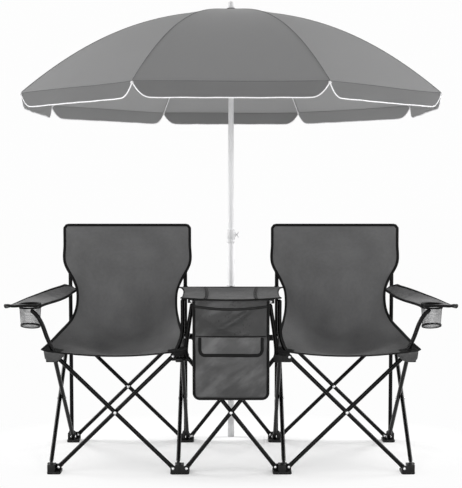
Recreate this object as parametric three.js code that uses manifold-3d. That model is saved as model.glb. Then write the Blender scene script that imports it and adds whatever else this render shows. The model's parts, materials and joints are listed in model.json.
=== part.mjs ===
// A double folding camp chair with a fabric table, a hanging cooler bag and an umbrella.
// Millimetres, +Z up. The origin is on the floor under the mast, the sitters face -Y, and +X is their left.
import * as THREE from "three";
import { mergeVertices } from "three/addons/utils/BufferGeometryUtils.js";
import Module from "manifold-3d";

const wasm = await Module();
wasm.setup();

// Shared small sizes.
const gap = 0.3; // between pieces that touch
const overrun = 2; // how far a cut runs past what it cuts

// The plan of the frame: four columns from left to right, each with a front and a rear foot.
const outerColumn = 590; // from the middle to an outer column
const innerColumn = 168;
const frameDepth = 430; // from the front feet to the rear feet
const mastBehindFrame = 55; // from the rear feet to the mast

// Scissor tubes and their joints.
const tubeRadius = 7;
const tubeFlat = 10; // thickness of a tube where it is flattened for a rivet
const flatReach = 21; // how far the flattening runs from the rivet
const rivetRadius = 2.5;
const rivetHeadRadius = 4.5;
const rivetHeadHeight = 1.6;
const pinInset = 22; // from a column to a front or rear scissor's pin
const sidePinInset = 26; // from a column to a side scissor's pin
const pinHeight = 20; // of the lower pins over the floor
const scissorRise = 368; // from the lower pins to the upper ones

// Plastic feet, brackets and sliders.
const lugThickness = 4;
const lugMargin = 8.5; // of a lug round its pin
const coreHalfWidth = 14.5;
const coreHalfDepth = 15.5;
const webThickness = 3;
const soleThickness = 9;
const soleMargin = 2.5;
const footCoreTop = 11; // over the pins
const knobRadius = 5;
const knobHeight = 5;
const bracketTop = -5; // the brackets' cores stay under the tubes that run on over them
const bracketBottom = -17;
const sliderHalfHeight = 13;
const slidingClearance = 0.5;

// Back posts.
const postTop = 794;

// Chair slings.
const slingThickness = 4;
const backTop = 800;
const backOverhang = 24; // of the back's edge past its post
const postSleeveGap = 4;
const waistHeight = 553;
const waistInset = 30; // of the waist from the column
const seatCornerOverhang = 24; // of the seat's front corners past the column
const seatCornerHeight = 410;
const seatFrontReach = 27; // of the front edge past the front column
const seatFrontSag = 20;
const seatDip = 356; // height of the seat's lowest line
const backSag = 16; // how far the back bellies rearwards
const slitClearance = 3; // round the tubes that pass through the fabric

// Arm rests.
const armThickness = 5;
const armRearHeight = 569;
const armFrontHeight = 549;
const armFrontReach = 17; // past the front column
const armRearWidth = 26;
const armFrontWidth = 112;
const armOuterEdge = 741; // from the middle to the tip of an arm
const armPostOut = 57; // how far the bent tube's end lies outside the column
const armWidenShares = [0.1, 0.85]; // where along an arm it starts and stops to widen
const armTipShares = [0.9, 0.22]; // where its corners start to round, and how much they lose
const armTwist = 40; // how much higher an arm's outer edge lies than its inner one, near the rear
const armTwistShares = [0.05, 0.72]; // where along an arm the twist starts to fade and where it has gone
const armRootShares = [0.12, 0.45]; // where the twist is full, and how much of it the rear end has
const armRootShift = 13; // how far the rear end reaches past the post towards the sling

// Cup holders.
const cupTopRadius = 35;
const cupBottomRadius = 31;
const cupDepth = 65;
const cupWall = 1.6;
const cupFromFront = 66; // from the front column back to the cup's axis
const cupOutside = 77; // from the column out to the cup's axis

// Table and cooler bag.
const tableThickness = 6;
const tableRearHeight = 573;
const tableFrontHeight = 595;
const tableFrontReach = 112; // past the front column
const tableRearHalfWidth = 186;
const tableFrontHalfWidth = 152;
const tableSag = 9;
const tableSagShare = 0.35; // how much of the sag the rear edge has
const tablePostHeight = 576; // top of the tubes that carry the table's front corners
const tablePostInset = 10; // from the column to those tubes
const capInset = 40; // from an inner column to the cap on a table tube
const bagHalfWidth = 119;
const bagBottom = 267;
const bagDepth = 88;
const bagCorner = 20;
const bagBulge = 9;
const bagSwellShares = [0.05, 0.95]; // where up the bag its front starts and stops to swell
const flapTop = 465;
const flapBottom = 409;
const flapHalfWidth = 99;
const flapThickness = 3.5;
const flapCorner = 16;
const capWidth = 26;
const capDepth = 2 * tubeRadius;
const capHeight = 17.4;
const capPlay = 0.9; // over the tube's tip

// Umbrella.
const mastRadius = 12;
const mastWall = 1.5;
const mastTop = 742; // of the lower mast
const upperMastRadius = 10;
const upperMastBottom = 380;
const upperMastTop = 1585;
const collarRadius = 15;
const collarHeight = 50;
const collarSeat = 12; // how far the collar reaches down over the lower mast
const screwRadius = 3;
const screwReach = 26;
const wingRadius = 11;
const holderHeight = 10;
const holderMidHeight = 572;
const holderWall = 4;
const ribCount = 8;
const ribReach = 773;
const ribTipHeight = 1260;
const canopyTop = 1593;
const crownPeakShare = 0.3; // how pointed the crown is
const ribRadius = 3;
const strutRadius = 2.5;
const ribEndShare = 0.985; // where the ribs end, of their reach
const strutReachShare = 0.42; // where the struts end, of the ribs' reach
const ribTiltShare = 1.45; // how deep a sloping rib is, of its radius
const strutTiltShare = 1.6;
const rootShare = 0.8; // of the hub's or runner's radius, where the ribs and struts start
const hubRadius = 20;
const hubHeight = 14;
const runnerRadius = 17;
const runnerHeight = 44;
const runnerMidHeight = 1318;
const canopyThickness = 2.4;
const canopyHoleRadius = 8;
const panelSag = 7;
const valanceDepth = 48;
const valanceNotch = 34; // how far the hem rises at a rib
const finialRadius = 14;
const finialHeight = 25;
const finialShares = [[0, 0], [1, 0], [1, 0.3], [0.75, 0.8], [0.4, 1], [0, 1]]; // of its radius and height

// Worked-out places.
const frontRow = -mastBehindFrame - frameDepth;
const rearRow = -mastBehindFrame;
const lane = tubeRadius + gap / 2; // from a scissor's plane to the middle of each of its tubes
const sleeveY = rearRow - tubeRadius - postSleeveGap; // the fabric's rear line, ahead of the posts
const columns = {
  outer_left: -outerColumn,
  inner_left: -innerColumn,
  inner_right: innerColumn,
  outer_right: outerColumn,
};

const finishes = {
  steel: { color: 0x101010, roughness: 0.25, metalness: 0.6 },
  plastic: { color: 0x161616, roughness: 0.5, metalness: 0 },
  cloth: { color: 0x565656, roughness: 0.9, metalness: 0 },
  mesh: { color: 0x9a9a9a, roughness: 0.8, metalness: 0 },
  mast: { color: 0xe6e6e6, roughness: 0.35, metalness: 0 },
  canopy: { color: 0x858585, roughness: 0.85, metalness: 0 },
};

const part = new THREE.Group();
const { clamp, lerp, smoothstep } = THREE.MathUtils;

// A closed geometry as a solid that can be joined and cut.
function solidOf(geometry) {
  const bare = geometry.clone();
  bare.deleteAttribute("normal");
  bare.deleteAttribute("uv");
  const merged = mergeVertices(bare);
  return new wasm.Manifold(
    new wasm.Mesh({
      numProp: 3,
      vertProperties: new Float32Array(merged.attributes.position.array),
      triVerts: new Uint32Array(merged.index.array),
    }),
  );
}

// A solid back as a geometry.
function geometryOf(solid) {
  const mesh = solid.getMesh();
  const geometry = new THREE.BufferGeometry();
  const position = new THREE.BufferAttribute(new Float32Array(mesh.vertProperties), 3);
  geometry.setAttribute("position", position);
  geometry.setIndex(new THREE.BufferAttribute(new Uint32Array(mesh.triVerts), 1));
  geometry.computeVertexNormals();
  return geometry;
}

const joined = (solids) => solids.reduce((all, one) => all.add(one));

// Adds a named mesh to a group, and returns it for placing.
function addNode(name, geometry, finish, group = part) {
  const mesh = new THREE.Mesh(geometry, new THREE.MeshStandardMaterial(finishes[finish]));
  mesh.name = name;
  group.add(mesh);
  return mesh;
}

// A box between two corners.
function block(low, high) {
  const size = high.map((value, i) => value - low[i]);
  const middle = high.map((value, i) => (value + low[i]) / 2);
  return solidOf(new THREE.BoxGeometry(...size).translate(...middle));
}

// How many sides a round piece has, and the corner radius of a bore that a round piece turns in.
const sidesOf = (radius) => (radius < tubeRadius ? 6 : 8);
const boreFor = (radius) => (radius + gap) / Math.cos(Math.PI / sidesOf(radius));

// A round rod between two points.
function rod(from, to, radius, sides = sidesOf(radius)) {
  const a = new THREE.Vector3(...from);
  const b = new THREE.Vector3(...to);
  const geometry = new THREE.CylinderGeometry(radius, radius, a.distanceTo(b), sides);
  const turn = new THREE.Quaternion().setFromUnitVectors(
    new THREE.Vector3(0, 1, 0),
    b.clone().sub(a).normalize(),
  );
  geometry.applyQuaternion(turn);
  geometry.translate(...a.add(b).divideScalar(2).toArray());
  return solidOf(geometry);
}

// A round tube along a smooth path through points.
function bentTube(points, radius, steps, sides = sidesOf(radius)) {
  const section = new THREE.Shape();
  for (let i = 0; i < sides; i++) {
    const turn = (i / sides) * Math.PI * 2;
    const at = [radius * Math.cos(turn), radius * Math.sin(turn)];
    if (i === 0) section.moveTo(...at);
    else section.lineTo(...at);
  }
  const path = new THREE.CatmullRomCurve3(points.map((p) => new THREE.Vector3(...p)));
  return solidOf(new THREE.ExtrudeGeometry(section, { steps, extrudePath: path }));
}

// A closed shell from two grids of points with the same number of rows and columns.
function shell(rows, cols, outerAt, innerAt) {
  const points = [];
  for (const at of [outerAt, innerAt])
    for (let r = 0; r <= rows; r++)
      for (let c = 0; c <= cols; c++) points.push(...at(r / rows, c / cols));
  const layer = (rows + 1) * (cols + 1);
  const id = (side, r, c) => side * layer + r * (cols + 1) + c;
  const faces = [];
  const quad = (a, b, c, d) => faces.push(a, b, c, a, c, d);
  for (let r = 0; r < rows; r++)
    for (let c = 0; c < cols; c++) {
      quad(id(0, r, c), id(0, r, c + 1), id(0, r + 1, c + 1), id(0, r + 1, c));
      quad(id(1, r, c), id(1, r + 1, c), id(1, r + 1, c + 1), id(1, r, c + 1));
    }
  for (let r = 0; r < rows; r++) {
    quad(id(0, r, 0), id(0, r + 1, 0), id(1, r + 1, 0), id(1, r, 0));
    quad(id(0, r + 1, cols), id(0, r, cols), id(1, r, cols), id(1, r + 1, cols));
  }
  for (let c = 0; c < cols; c++) {
    quad(id(0, 0, c + 1), id(0, 0, c), id(1, 0, c), id(1, 0, c + 1));
    quad(id(0, rows, c), id(0, rows, c + 1), id(1, rows, c + 1), id(1, rows, c));
  }
  const geometry = new THREE.BufferGeometry();
  geometry.setAttribute("position", new THREE.Float32BufferAttribute(points, 3));
  geometry.setIndex(faces);
  const solid = solidOf(geometry);
  if (solid.volume() > 0) return solid;
  for (let i = 0; i < faces.length; i += 3) faces.push(...faces.splice(0, 3).reverse());
  geometry.setIndex(faces);
  return solidOf(geometry);
}

// A smooth curve through the rows of a table, at a place counted in rows.
function alongTable(table, place, column) {
  const last = table.length - 1;
  const row = Math.min(Math.floor(place), last - 1);
  const at = (i) => table[clamp(i, 0, last)][column];
  return hermite(at(row - 1), at(row), at(row + 1), at(row + 2), place - row);
}

// A smooth curve through four even values.
function hermite(before, from, to, after, t) {
  const startSlope = (to - before) / 2;
  const endSlope = (after - from) / 2;
  const t2 = t * t;
  const t3 = t2 * t;
  return (
    (2 * t3 - 3 * t2 + 1) * from + (t3 - 2 * t2 + t) * startSlope +
    (3 * t2 - 2 * t3) * to + (t3 - t2) * endSlope
  );
}

// Scissors

// One scissor tube in its own plane: it stands on the lower pin and runs up along +Z, with the pins along Y.
// side is which of the two lanes it lies in: -1 in front, 1 behind.
function scissorTube(length, side, carriesRivet, runOn) {
  const y = side * lane;
  const pieces = [rod([0, y, 0], [0, y, length], tubeRadius)];
  for (const z of [0, length])
    pieces.push(rod([0, y - tubeFlat / 2, z], [0, y + tubeFlat / 2, z], tubeRadius));
  if (runOn) {
    const lead = [[0, y, length - flatReach * 2], [0, y, length - flatReach], [0, y, length]];
    const bend = runOn.map(([x, z]) => [x, y, z]);
    pieces.push(bentTube([...lead, ...bend], tubeRadius, 12));
  }
  let solid = joined(pieces);
  for (const z of [0, length])
    for (const away of [-1, 1]) {
      const inner = y + (away * tubeFlat) / 2;
      const outer = y + away * (tubeRadius + overrun);
      const down = z === 0 ? tubeRadius + overrun : flatReach;
      solid = solid.subtract(
        block(
          [-tubeRadius - overrun, Math.min(inner, outer), z - down],
          [tubeRadius + overrun, Math.max(inner, outer), z + flatReach],
        ),
      );
    }
  const bore = boreFor(rivetRadius);
  const across = tubeRadius + overrun;
  for (const z of [0, length]) solid = solid.subtract(rod([0, y - across, z], [0, y + across, z], bore));
  const middle = length / 2;
  if (!carriesRivet) return solid.subtract(rod([0, y - across, middle], [0, y + across, middle], bore));
  const near = y + side * (tubeRadius + rivetHeadHeight);
  const farFace = -side * (lane + tubeRadius + gap);
  const farEnd = farFace - side * rivetHeadHeight;
  return joined([
    solid,
    rod([0, near, middle], [0, farEnd, middle], rivetRadius),
    rod([0, near, middle], [0, y, middle], rivetHeadRadius),
    rod([0, farFace, middle], [0, farEnd, middle], rivetHeadRadius),
  ]);
}

// A pair of crossed tubes between two columns. The group's X runs from the left lower pin to the right one.
// front says which tube lies in the front lane: "rising" climbs to the right, "falling" climbs to the left.
function addScissor(group, names, span, rise, front, runOns = {}) {
  const length = Math.hypot(span, rise);
  const lean = Math.atan2(span, rise);
  const toTube = (turn, foot) => (points) =>
    points?.map(([x, z]) => [
      (x - foot) * Math.cos(turn) - z * Math.sin(turn),
      (x - foot) * Math.sin(turn) + z * Math.cos(turn),
    ]);
  const risingSide = front === "rising" ? -1 : 1;
  const risingEnd = toTube(lean, 0)(runOns.rising);
  const rising = scissorTube(length, risingSide, true, risingEnd);
  addNode(names.rising, geometryOf(rising), "steel", group).rotation.y = lean;
  const fallingEnd = toTube(-lean, span)(runOns.falling);
  const falling = scissorTube(length, -risingSide, false, fallingEnd);
  const mesh = addNode(names.falling, geometryOf(falling), "steel", group);
  mesh.position.x = span;
  mesh.rotation.y = -lean;
}

// Feet, brackets and sliders

// A lug beside a scissor pin, with the rivet that it holds. The lug lies outside its tube's lane. One without
// a rivet only guides its tube, so it leaves room for the tube's full thickness.
// along is "x" for a front or rear scissor and "y" for a side one; toward is the side of the column.
function lugAndRivet(along, toward, side, bottom, top, pinned) {
  const inset = along === "x" ? pinInset : sidePinInset;
  const tubeFace = side * (lane + (pinned ? tubeFlat / 2 : tubeRadius) + gap);
  const lugFace = tubeFace + side * lugThickness;
  const headFace = side * (lane - tubeFlat / 2 - gap);
  const headEnd = headFace - side * rivetHeadHeight;
  const from = along === "x" ? 0 : coreHalfDepth - gap;
  const place = (run, across, z) => (along === "x" ? [toward * run, across, z] : [across, toward * run, z]);
  const corners = [place(from, tubeFace, bottom), place(inset + lugMargin, lugFace, top)];
  const low = [0, 1, 2].map((i) => Math.min(corners[0][i], corners[1][i]));
  const high = [0, 1, 2].map((i) => Math.max(corners[0][i], corners[1][i]));
  const pieces = [block(low, high)];
  if (pinned) {
    pieces.push(rod(place(inset, lugFace, 0), place(inset, headEnd, 0), rivetRadius));
    pieces.push(rod(place(inset, headFace, 0), place(inset, headEnd, 0), rivetHeadRadius));
    const capEnd = lugFace + side * rivetHeadHeight;
    pieces.push(rod(place(inset, tubeFace, 0), place(inset, capEnd, 0), rivetHeadRadius));
  }
  return joined(pieces);
}

// The plastic body round a column, with a lug for each scissor pin. Its own height zero is at the pins.
function hub(pins, bottom, coreTop, lugTop) {
  const pieces = [
    block([-coreHalfWidth, -coreHalfDepth, bottom], [coreHalfWidth, coreHalfDepth, coreTop]),
  ];
  for (const { along, toward, side, pinned = true } of pins) {
    pieces.push(lugAndRivet(along, toward, side, bottom, lugTop, pinned));
    if (along === "y") {
      const ends = [toward * (coreHalfDepth - gap), toward * (coreHalfDepth + webThickness - gap)];
      const wide = lane + tubeFlat / 2 + gap + lugThickness;
      pieces.push(
        block([-coreHalfWidth, Math.min(...ends), bottom], [coreHalfWidth, Math.max(...ends), coreTop]),
        block(
          [Math.min(0, side * wide), Math.min(...ends), bottom],
          [Math.max(0, side * wide), Math.max(...ends), coreTop],
        ),
      );
    }
  }
  return joined(pieces);
}

// The columns that each front and rear scissor joins, and which of its tubes lies in the front lane.
const scissorPlan = {
  left_chair: { left: "outer_left", right: "inner_left", front: "falling" },
  table: { left: "inner_left", right: "inner_right", front: "rising" },
  right_chair: { left: "inner_right", right: "outer_right", front: "falling" },
};
const sideFront = (column) => (columns[column] < 0 ? "falling" : "rising");

// The pins at a column's lower or upper end. A rising tube stands on its left foot and ends at its right one.
function pinsAt(column, row, level) {
  const pins = [];
  for (const [name, plan] of Object.entries(scissorPlan)) {
    const at = plan.left === column ? "left" : plan.right === column ? "right" : null;
    if (!at) continue;
    const tube = (at === "left") === (level === "lower") ? "rising" : "falling";
    const side = tube === plan.front ? -1 : 1;
    const pinned = !(name === "table" && level === "upper");
    pins.push({ along: "x", toward: at === "left" ? 1 : -1, side, pinned });
  }
  const tube = (row === "rear") === (level === "lower") ? "rising" : "falling";
  const side = tube === sideFront(column) ? -1 : 1;
  pins.push({ along: "y", toward: row === "rear" ? -1 : 1, side });
  return pins;
}

function addFoot(column, row) {
  const pins = pinsAt(column, row, "lower");
  let foot = hub(pins, -pinHeight, footCoreTop, lugMargin);
  const reach = { left: coreHalfWidth, right: coreHalfWidth };
  for (const pin of pins)
    if (pin.along === "x") reach[pin.toward < 0 ? "left" : "right"] = pinInset + lugMargin;
  const forward = row === "rear" ? sidePinInset + lugMargin : coreHalfDepth;
  const backward = row === "rear" ? coreHalfDepth : sidePinInset + lugMargin;
  foot = foot.add(
    block(
      [-reach.left - soleMargin, -forward - soleMargin, -pinHeight],
      [reach.right + soleMargin, backward + soleMargin, -pinHeight + soleThickness],
    ),
  );
  if (row === "rear") {
    const socket = tubeRadius + gap;
    foot = foot.subtract(rod([0, 0, -pinHeight + soleThickness], [0, 0, footCoreTop + overrun], socket, 16));
  } else {
    foot = foot.add(rod([0, 0, footCoreTop - overrun], [0, 0, footCoreTop + knobHeight], knobRadius));
  }
  const mesh = addNode(`${row}_foot_${column}`, geometryOf(foot), "plastic");
  mesh.position.set(columns[column], row === "rear" ? rearRow : frontRow, pinHeight);
}

function addBracket(column) {
  const bracket = hub(pinsAt(column, "front", "upper"), bracketBottom, bracketTop, lugMargin);
  const mesh = addNode(`seat_bracket_${column}`, geometryOf(bracket), "plastic");
  mesh.position.set(columns[column], frontRow, pinHeight + scissorRise);
}

function addSlider(column) {
  let slider = hub(pinsAt(column, "rear", "upper"), -sliderHalfHeight, sliderHalfHeight, lugMargin);
  const past = sliderHalfHeight + overrun;
  slider = slider.subtract(rod([0, 0, -past], [0, 0, past], tubeRadius + slidingClearance, 16));
  const mesh = addNode(`back_slider_${column}`, geometryOf(slider), "plastic");
  mesh.position.set(columns[column], rearRow, pinHeight + scissorRise);
}

function addPost(column) {
  const foot = soleThickness + gap;
  const post = rod([0, 0, foot], [0, 0, postTop], tubeRadius, 12);
  const mesh = addNode(`back_post_${column}`, geometryOf(post), "steel");
  mesh.position.set(columns[column], rearRow, 0);
}

for (const column of Object.keys(columns)) {
  for (const row of ["front", "rear"]) addFoot(column, row);
  addPost(column);
  addBracket(column);
  addSlider(column);
}

// Heights of the cloth that the bent tubes carry

// How far along an arm a place lies, and the height of the arm's upper face there.
const armRun = sleeveY - frontRow + armFrontReach;
const armAlong = (y) => (sleeveY - y) / armRun;
const armHeight = (along) =>
  lerp(armRearHeight, armFrontHeight, along) - Math.sin(Math.PI * along) * armThickness;

// The table's half width and the height of its upper face, at a place along it and a share of its half width.
const tableRun = sleeveY - frontRow + tableFrontReach;
const tableHalf = (along) => lerp(tableRearHalfWidth, tableFrontHalfWidth, Math.sqrt(along));
function tableHeight(along, widthShare) {
  const sag = tableSag * lerp(tableSagShare, 1, Math.sin(Math.PI * along));
  return lerp(tableRearHeight, tableFrontHeight, along) - sag * (1 - widthShare * widthShare);
}

// The highest that a block may reach under the table.
function underTable(xs, ys) {
  const heights = ys.flatMap((y) => {
    const along = (sleeveY - y) / tableRun;
    return xs.map((x) => tableHeight(along, x / tableHalf(along)));
  });
  return Math.min(...heights) - tableThickness - gap;
}

// The bent ends of the front tubes

const chairSpan = outerColumn - innerColumn - 2 * pinInset;
const tableSpan = 2 * innerColumn - 2 * pinInset;
const sideSpan = frameDepth - 2 * sidePinInset;

// Points of each bend, as shares of the way from the pin to the tube's end, across and up.
const armBendShares = [[0.18, 0.17], [0.395, 0.42], [0.585, 0.7], [0.8, 0.9], [1, 1]];
const postBendShares = [[0.34, 0.1], [0.87, 0.33], [1, 0.56], [1, 1]];
const capBendShares = [[-0.06, 0.15], [0.18, 0.38], [0.61, 0.69], [0.975, 0.93], [1, 1]];
const tipTiltShare = 0.8; // how far a leaning tube's end reaches over its middle, of its radius

// A bend's points in the scissor's plane, where a pin and the tube's end are given from the left lower pin.
const bend = (shares, pin, end, height) =>
  shares.map(([across, up]) => [lerp(pin, end, across), lerp(scissorRise, height - pinHeight, up)]);

const armUnderside = Math.min(...[-lane, lane].map((y) => armHeight(armAlong(frontRow + y)))) - armThickness;
const armPostHeight = armUnderside - gap - tubeRadius * tipTiltShare;
const capX = innerColumn - capInset;
const capReach = lane + capDepth / 2;
const capXs = [capX - capWidth / 2, capX + capWidth / 2];
const capTop = underTable(capXs, [frontRow - capReach, frontRow + capReach]);
const capBottom = capTop - capHeight;

// The ends on the left of a scissor's middle. Those on its right are their mirror images.
const armEnd = bend(armBendShares, 0, -pinInset - armPostOut, armPostHeight);
const postEnd = bend(postBendShares, 0, -pinInset - tablePostInset, tablePostHeight);
const capEnd = bend(capBendShares, 0, capInset - pinInset, capBottom - capPlay);
const mirrored = (points, span) => points.map(([x, z]) => [span - x, z]);

const runOnPlan = {
  left_chair: { falling: armEnd, rising: mirrored(postEnd, chairSpan) },
  table: { falling: capEnd, rising: mirrored(capEnd, tableSpan) },
  right_chair: { falling: postEnd, rising: mirrored(armEnd, chairSpan) },
};

for (const [name, plan] of Object.entries(scissorPlan))
  for (const row of ["front", "rear"]) {
    const group = new THREE.Group();
    const left = columns[plan.left] + pinInset;
    group.position.set(left, row === "front" ? frontRow : rearRow, pinHeight);
    part.add(group);
    const names = {
      rising: `${row}_${name}_rising_tube`,
      falling: `${row}_${name}_falling_tube`,
    };
    const span = columns[plan.right] - columns[plan.left] - 2 * pinInset;
    addScissor(group, names, span, scissorRise, plan.front, row === "front" ? runOnPlan[name] : {});
  }

for (const [column, x] of Object.entries(columns)) {
  const group = new THREE.Group();
  group.position.set(x, rearRow - sidePinInset, pinHeight);
  group.rotation.z = -Math.PI / 2;
  part.add(group);
  const names = { rising: `side_forward_tube_${column}`, falling: `side_backward_tube_${column}` };
  addScissor(group, names, sideSpan, scissorRise, sideFront(column));
}

// Slings

// Rows of a sling from the back's top to the seat's front. The back's rows hold shares of the widening from the
// waist, of the height over the waist at the edge and the middle, and of the belly.
const backShares = [
  [1, 1, 1, 0.2],
  [1, 0.72, 0.72, 0.8],
  [1, 0.44, 0.42, 1],
  [0.3, 0.17, 0.12, 0.9],
];

// The seat's rows hold shares of the widening, and of the run from the front and the height over the corners,
// first at the edge and then at the middle. A negative height counts down to the seat's dip.
const seatShares = [
  [0, 0.964, 1, 1.014, 0.5],
  [0, 0.9, 0.62, 0.95, 0],
  [0.19, 0.76, 0.36, 0.8, -0.63],
  [0.5, 0.48, 0.2, 0.52, -1],
  [0.75, 0.2, 0.08, 0.22, -0.6],
];

const chairHalf = (outerColumn - innerColumn) / 2;
const chairMiddle = (outerColumn + innerColumn) / 2;
const waistHalf = chairHalf - waistInset;
const cornerHalf = chairHalf + seatCornerOverhang;
const seatFront = frontRow - seatFrontReach;
const overCorners = (share) =>
  seatCornerHeight + share * (share < 0 ? seatCornerHeight - seatDip : waistHeight - seatCornerHeight);

// Half width, edge y and z, middle y and z.
const slingTable = [
  ...backShares.map(([wide, edge, middle, belly]) => [
    lerp(waistHalf, chairHalf + backOverhang, wide),
    sleeveY,
    lerp(waistHeight, backTop, edge),
    sleeveY + backSag * belly,
    lerp(waistHeight, backTop, middle),
  ]),
  ...seatShares.map(([wide, edgeRun, edge, middleRun, middle]) => [
    lerp(waistHalf, cornerHalf, wide),
    lerp(seatFront, sleeveY, edgeRun),
    overCorners(edge),
    lerp(seatFront, sleeveY, middleRun),
    overCorners(middle),
  ]),
  [cornerHalf, seatFront, seatCornerHeight, seatFront, seatCornerHeight - seatFrontSag],
];

// A point of the sling: down from the back's top to the seat's front, and across from side to side.
function slingAt(middleX, down, across, depth) {
  const stepShare = 0.0001;
  const read = (share) => {
    const place = clamp(share, 0, 1) * (slingTable.length - 1);
    return slingTable[0].map((_, column) => alongTable(slingTable, place, column));
  };
  const [half, edgeY, edgeZ, middleY, middleZ] = read(down);
  const above = read(down - stepShare);
  const below = read(down + stepShare);
  const normal = new THREE.Vector2(below[4] - above[4], above[3] - below[3]).normalize();
  const u = 2 * across - 1;
  const belly = 1 - u * u;
  return [
    middleX + u * half,
    lerp(edgeY, middleY, belly) + normal.x * depth,
    lerp(edgeZ, middleZ, belly) + normal.y * depth,
  ];
}

// What passes through the seats near their front corners: a fat copy of each run-on tube.
function slitCut() {
  const cuts = [];
  for (const [name, runOns] of Object.entries(runOnPlan)) {
    const left = columns[scissorPlan[name].left] + pinInset;
    const span = columns[scissorPlan[name].right] - pinInset - left;
    for (const [tube, points] of Object.entries(runOns)) {
      const y = frontRow + (tube === scissorPlan[name].front ? -lane : lane);
      const from = tube === "falling" ? 0 : span;
      const slope = tube === "falling" ? 1 : -1;
      const path = [[from + slope * flatReach, scissorRise - flatReach], [from, scissorRise], ...points];
      const fat = tubeRadius + slitClearance;
      cuts.push(bentTube(path.map(([x, z]) => [left + x, y, pinHeight + z]), fat, 12, 8));
    }
  }
  return joined(cuts);
}
const slits = slitCut();

for (const [name, middleX] of [["left", -chairMiddle], ["right", chairMiddle]]) {
  const front = (down, across) => slingAt(middleX, down, across, 0);
  const back = (down, across) => slingAt(middleX, down, across, slingThickness);
  const sling = shell(18, 10, front, back).subtract(slits);
  addNode(`chair_sling_${name}`, geometryOf(sling), "cloth");
}

// Arm rests

// A point of the left arm rest: back to front, and from the inner edge to the outer one.
function armAt(along, across, depth) {
  const rearInner = outerColumn - armRearWidth / 2;
  const ease = smoothstep(along, ...armWidenShares);
  const width = lerp(armRearWidth, armFrontWidth, ease);
  const root = smoothstep(along, 0, armRootShares[0]);
  const outer = lerp(rearInner + armRearWidth, armOuterEdge, ease) - armRootShift * (1 - root);
  const [tipShare, lossShare] = armTipShares;
  const rounding = 1 - (Math.max(0, along - tipShare) / (1 - tipShare)) * lossShare;
  const middle = outer - width / 2;
  const twist = armTwist * (1 - smoothstep(along, ...armTwistShares)) * lerp(armRootShares[1], 1, root);
  const height = armHeight(along) + twist * (across - 1 / 2);
  return [-middle - width * rounding * (across - 1 / 2), sleeveY - armRun * along, height - depth];
}

const cupX = outerColumn + cupOutside;
const cupY = frontRow + cupFromFront;
const cupEnds = [cupY - cupTopRadius, cupY + cupTopRadius].map((y) => armHeight(armAlong(y)));
const cupRim = Math.min(...cupEnds) - armThickness - gap;
const holeTop = Math.max(armRearHeight, armFrontHeight) + overrun;
for (const [name, mirror] of [["left", 1], ["right", -1]]) {
  const place = ([x, y, z]) => [x * mirror, y, z];
  const top = (along, across) => place(armAt(along, across, 0));
  const under = (along, across) => place(armAt(along, across, armThickness));
  const hole = [cupRim, holeTop].map((z) => [-mirror * cupX, cupY, z]);
  const arm = shell(10, 4, top, under).subtract(rod(hole[0], hole[1], cupBottomRadius, 16));
  addNode(`arm_rest_${name}`, geometryOf(arm), "cloth");
  const profile = [
    [0, 0],
    [cupBottomRadius, 0],
    [cupTopRadius, cupDepth],
    [cupTopRadius - cupWall, cupDepth],
    [cupBottomRadius - cupWall, cupWall],
    [0, cupWall],
  ].map(([r, z]) => new THREE.Vector2(r, z));
  const cup = new THREE.LatheGeometry(profile, 20).rotateX(Math.PI / 2);
  const mesh = addNode(`cup_holder_${name}`, geometryOf(solidOf(cup)), "mesh");
  mesh.position.set(-mirror * cupX, cupY, cupRim - cupDepth);
}

// Table and cooler bag

// A point of the table top: back to front, and from left to right.
function tableAt(along, across, depth) {
  const u = 2 * across - 1;
  return [u * tableHalf(along), sleeveY - tableRun * along, tableHeight(along, u) - depth];
}
const table = shell(6, 8, (a, b) => tableAt(a, b, 0), (a, b) => tableAt(a, b, tableThickness));
addNode("table_top", geometryOf(table), "cloth");

// The bag's back lies in front of the table scissor, its top under the table, and its front swells a little.
const bagBack = frontRow - lane - tubeRadius - gap;
const bagFront = bagBack - bagDepth;
const bagTop = underTable([0], [bagBack, bagFront]);
function bagAt(up, across, layer) {
  const u = 2 * across - 1;
  const height = lerp(bagBottom, bagTop, up);
  const inCorner = Math.max(0, bagCorner - (height - bagBottom));
  const pull = bagCorner - Math.sqrt(bagCorner ** 2 - inCorner ** 2);
  const [startShare, endShare] = bagSwellShares;
  const swell = bagBulge * (1 - u ** 4) * Math.sin(Math.PI * lerp(startShare, endShare, up));
  return [u * (bagHalfWidth - pull), layer ? bagBack : bagFront - swell + bagBulge, height];
}
const bag = shell(9, 8, (a, b) => bagAt(a, b, 0), (a, b) => bagAt(a, b, 1));
addNode("cooler_bag", geometryOf(bag), "cloth");

// The pocket's flap hangs from its upper edge, and its lower corners are round.
const flapOutline = new THREE.Shape();
const flapInner = flapHalfWidth - flapCorner;
const flapLow = flapBottom - flapTop;
flapOutline.moveTo(-flapInner, flapLow);
flapOutline.absarc(flapInner, flapLow + flapCorner, flapCorner, -Math.PI / 2, 0);
flapOutline.lineTo(flapHalfWidth, 0);
flapOutline.lineTo(-flapHalfWidth, 0);
flapOutline.absarc(-flapInner, flapLow + flapCorner, flapCorner, Math.PI, Math.PI * 1.5);
const flapShape = { depth: flapThickness, bevelEnabled: false, curveSegments: 4 };
const flap = new THREE.ExtrudeGeometry(flapOutline, flapShape).rotateX(Math.PI / 2);
const flapMesh = addNode("pocket_flap", geometryOf(solidOf(flap)), "cloth");
flapMesh.position.set(0, bagFront - gap, flapTop);

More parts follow.
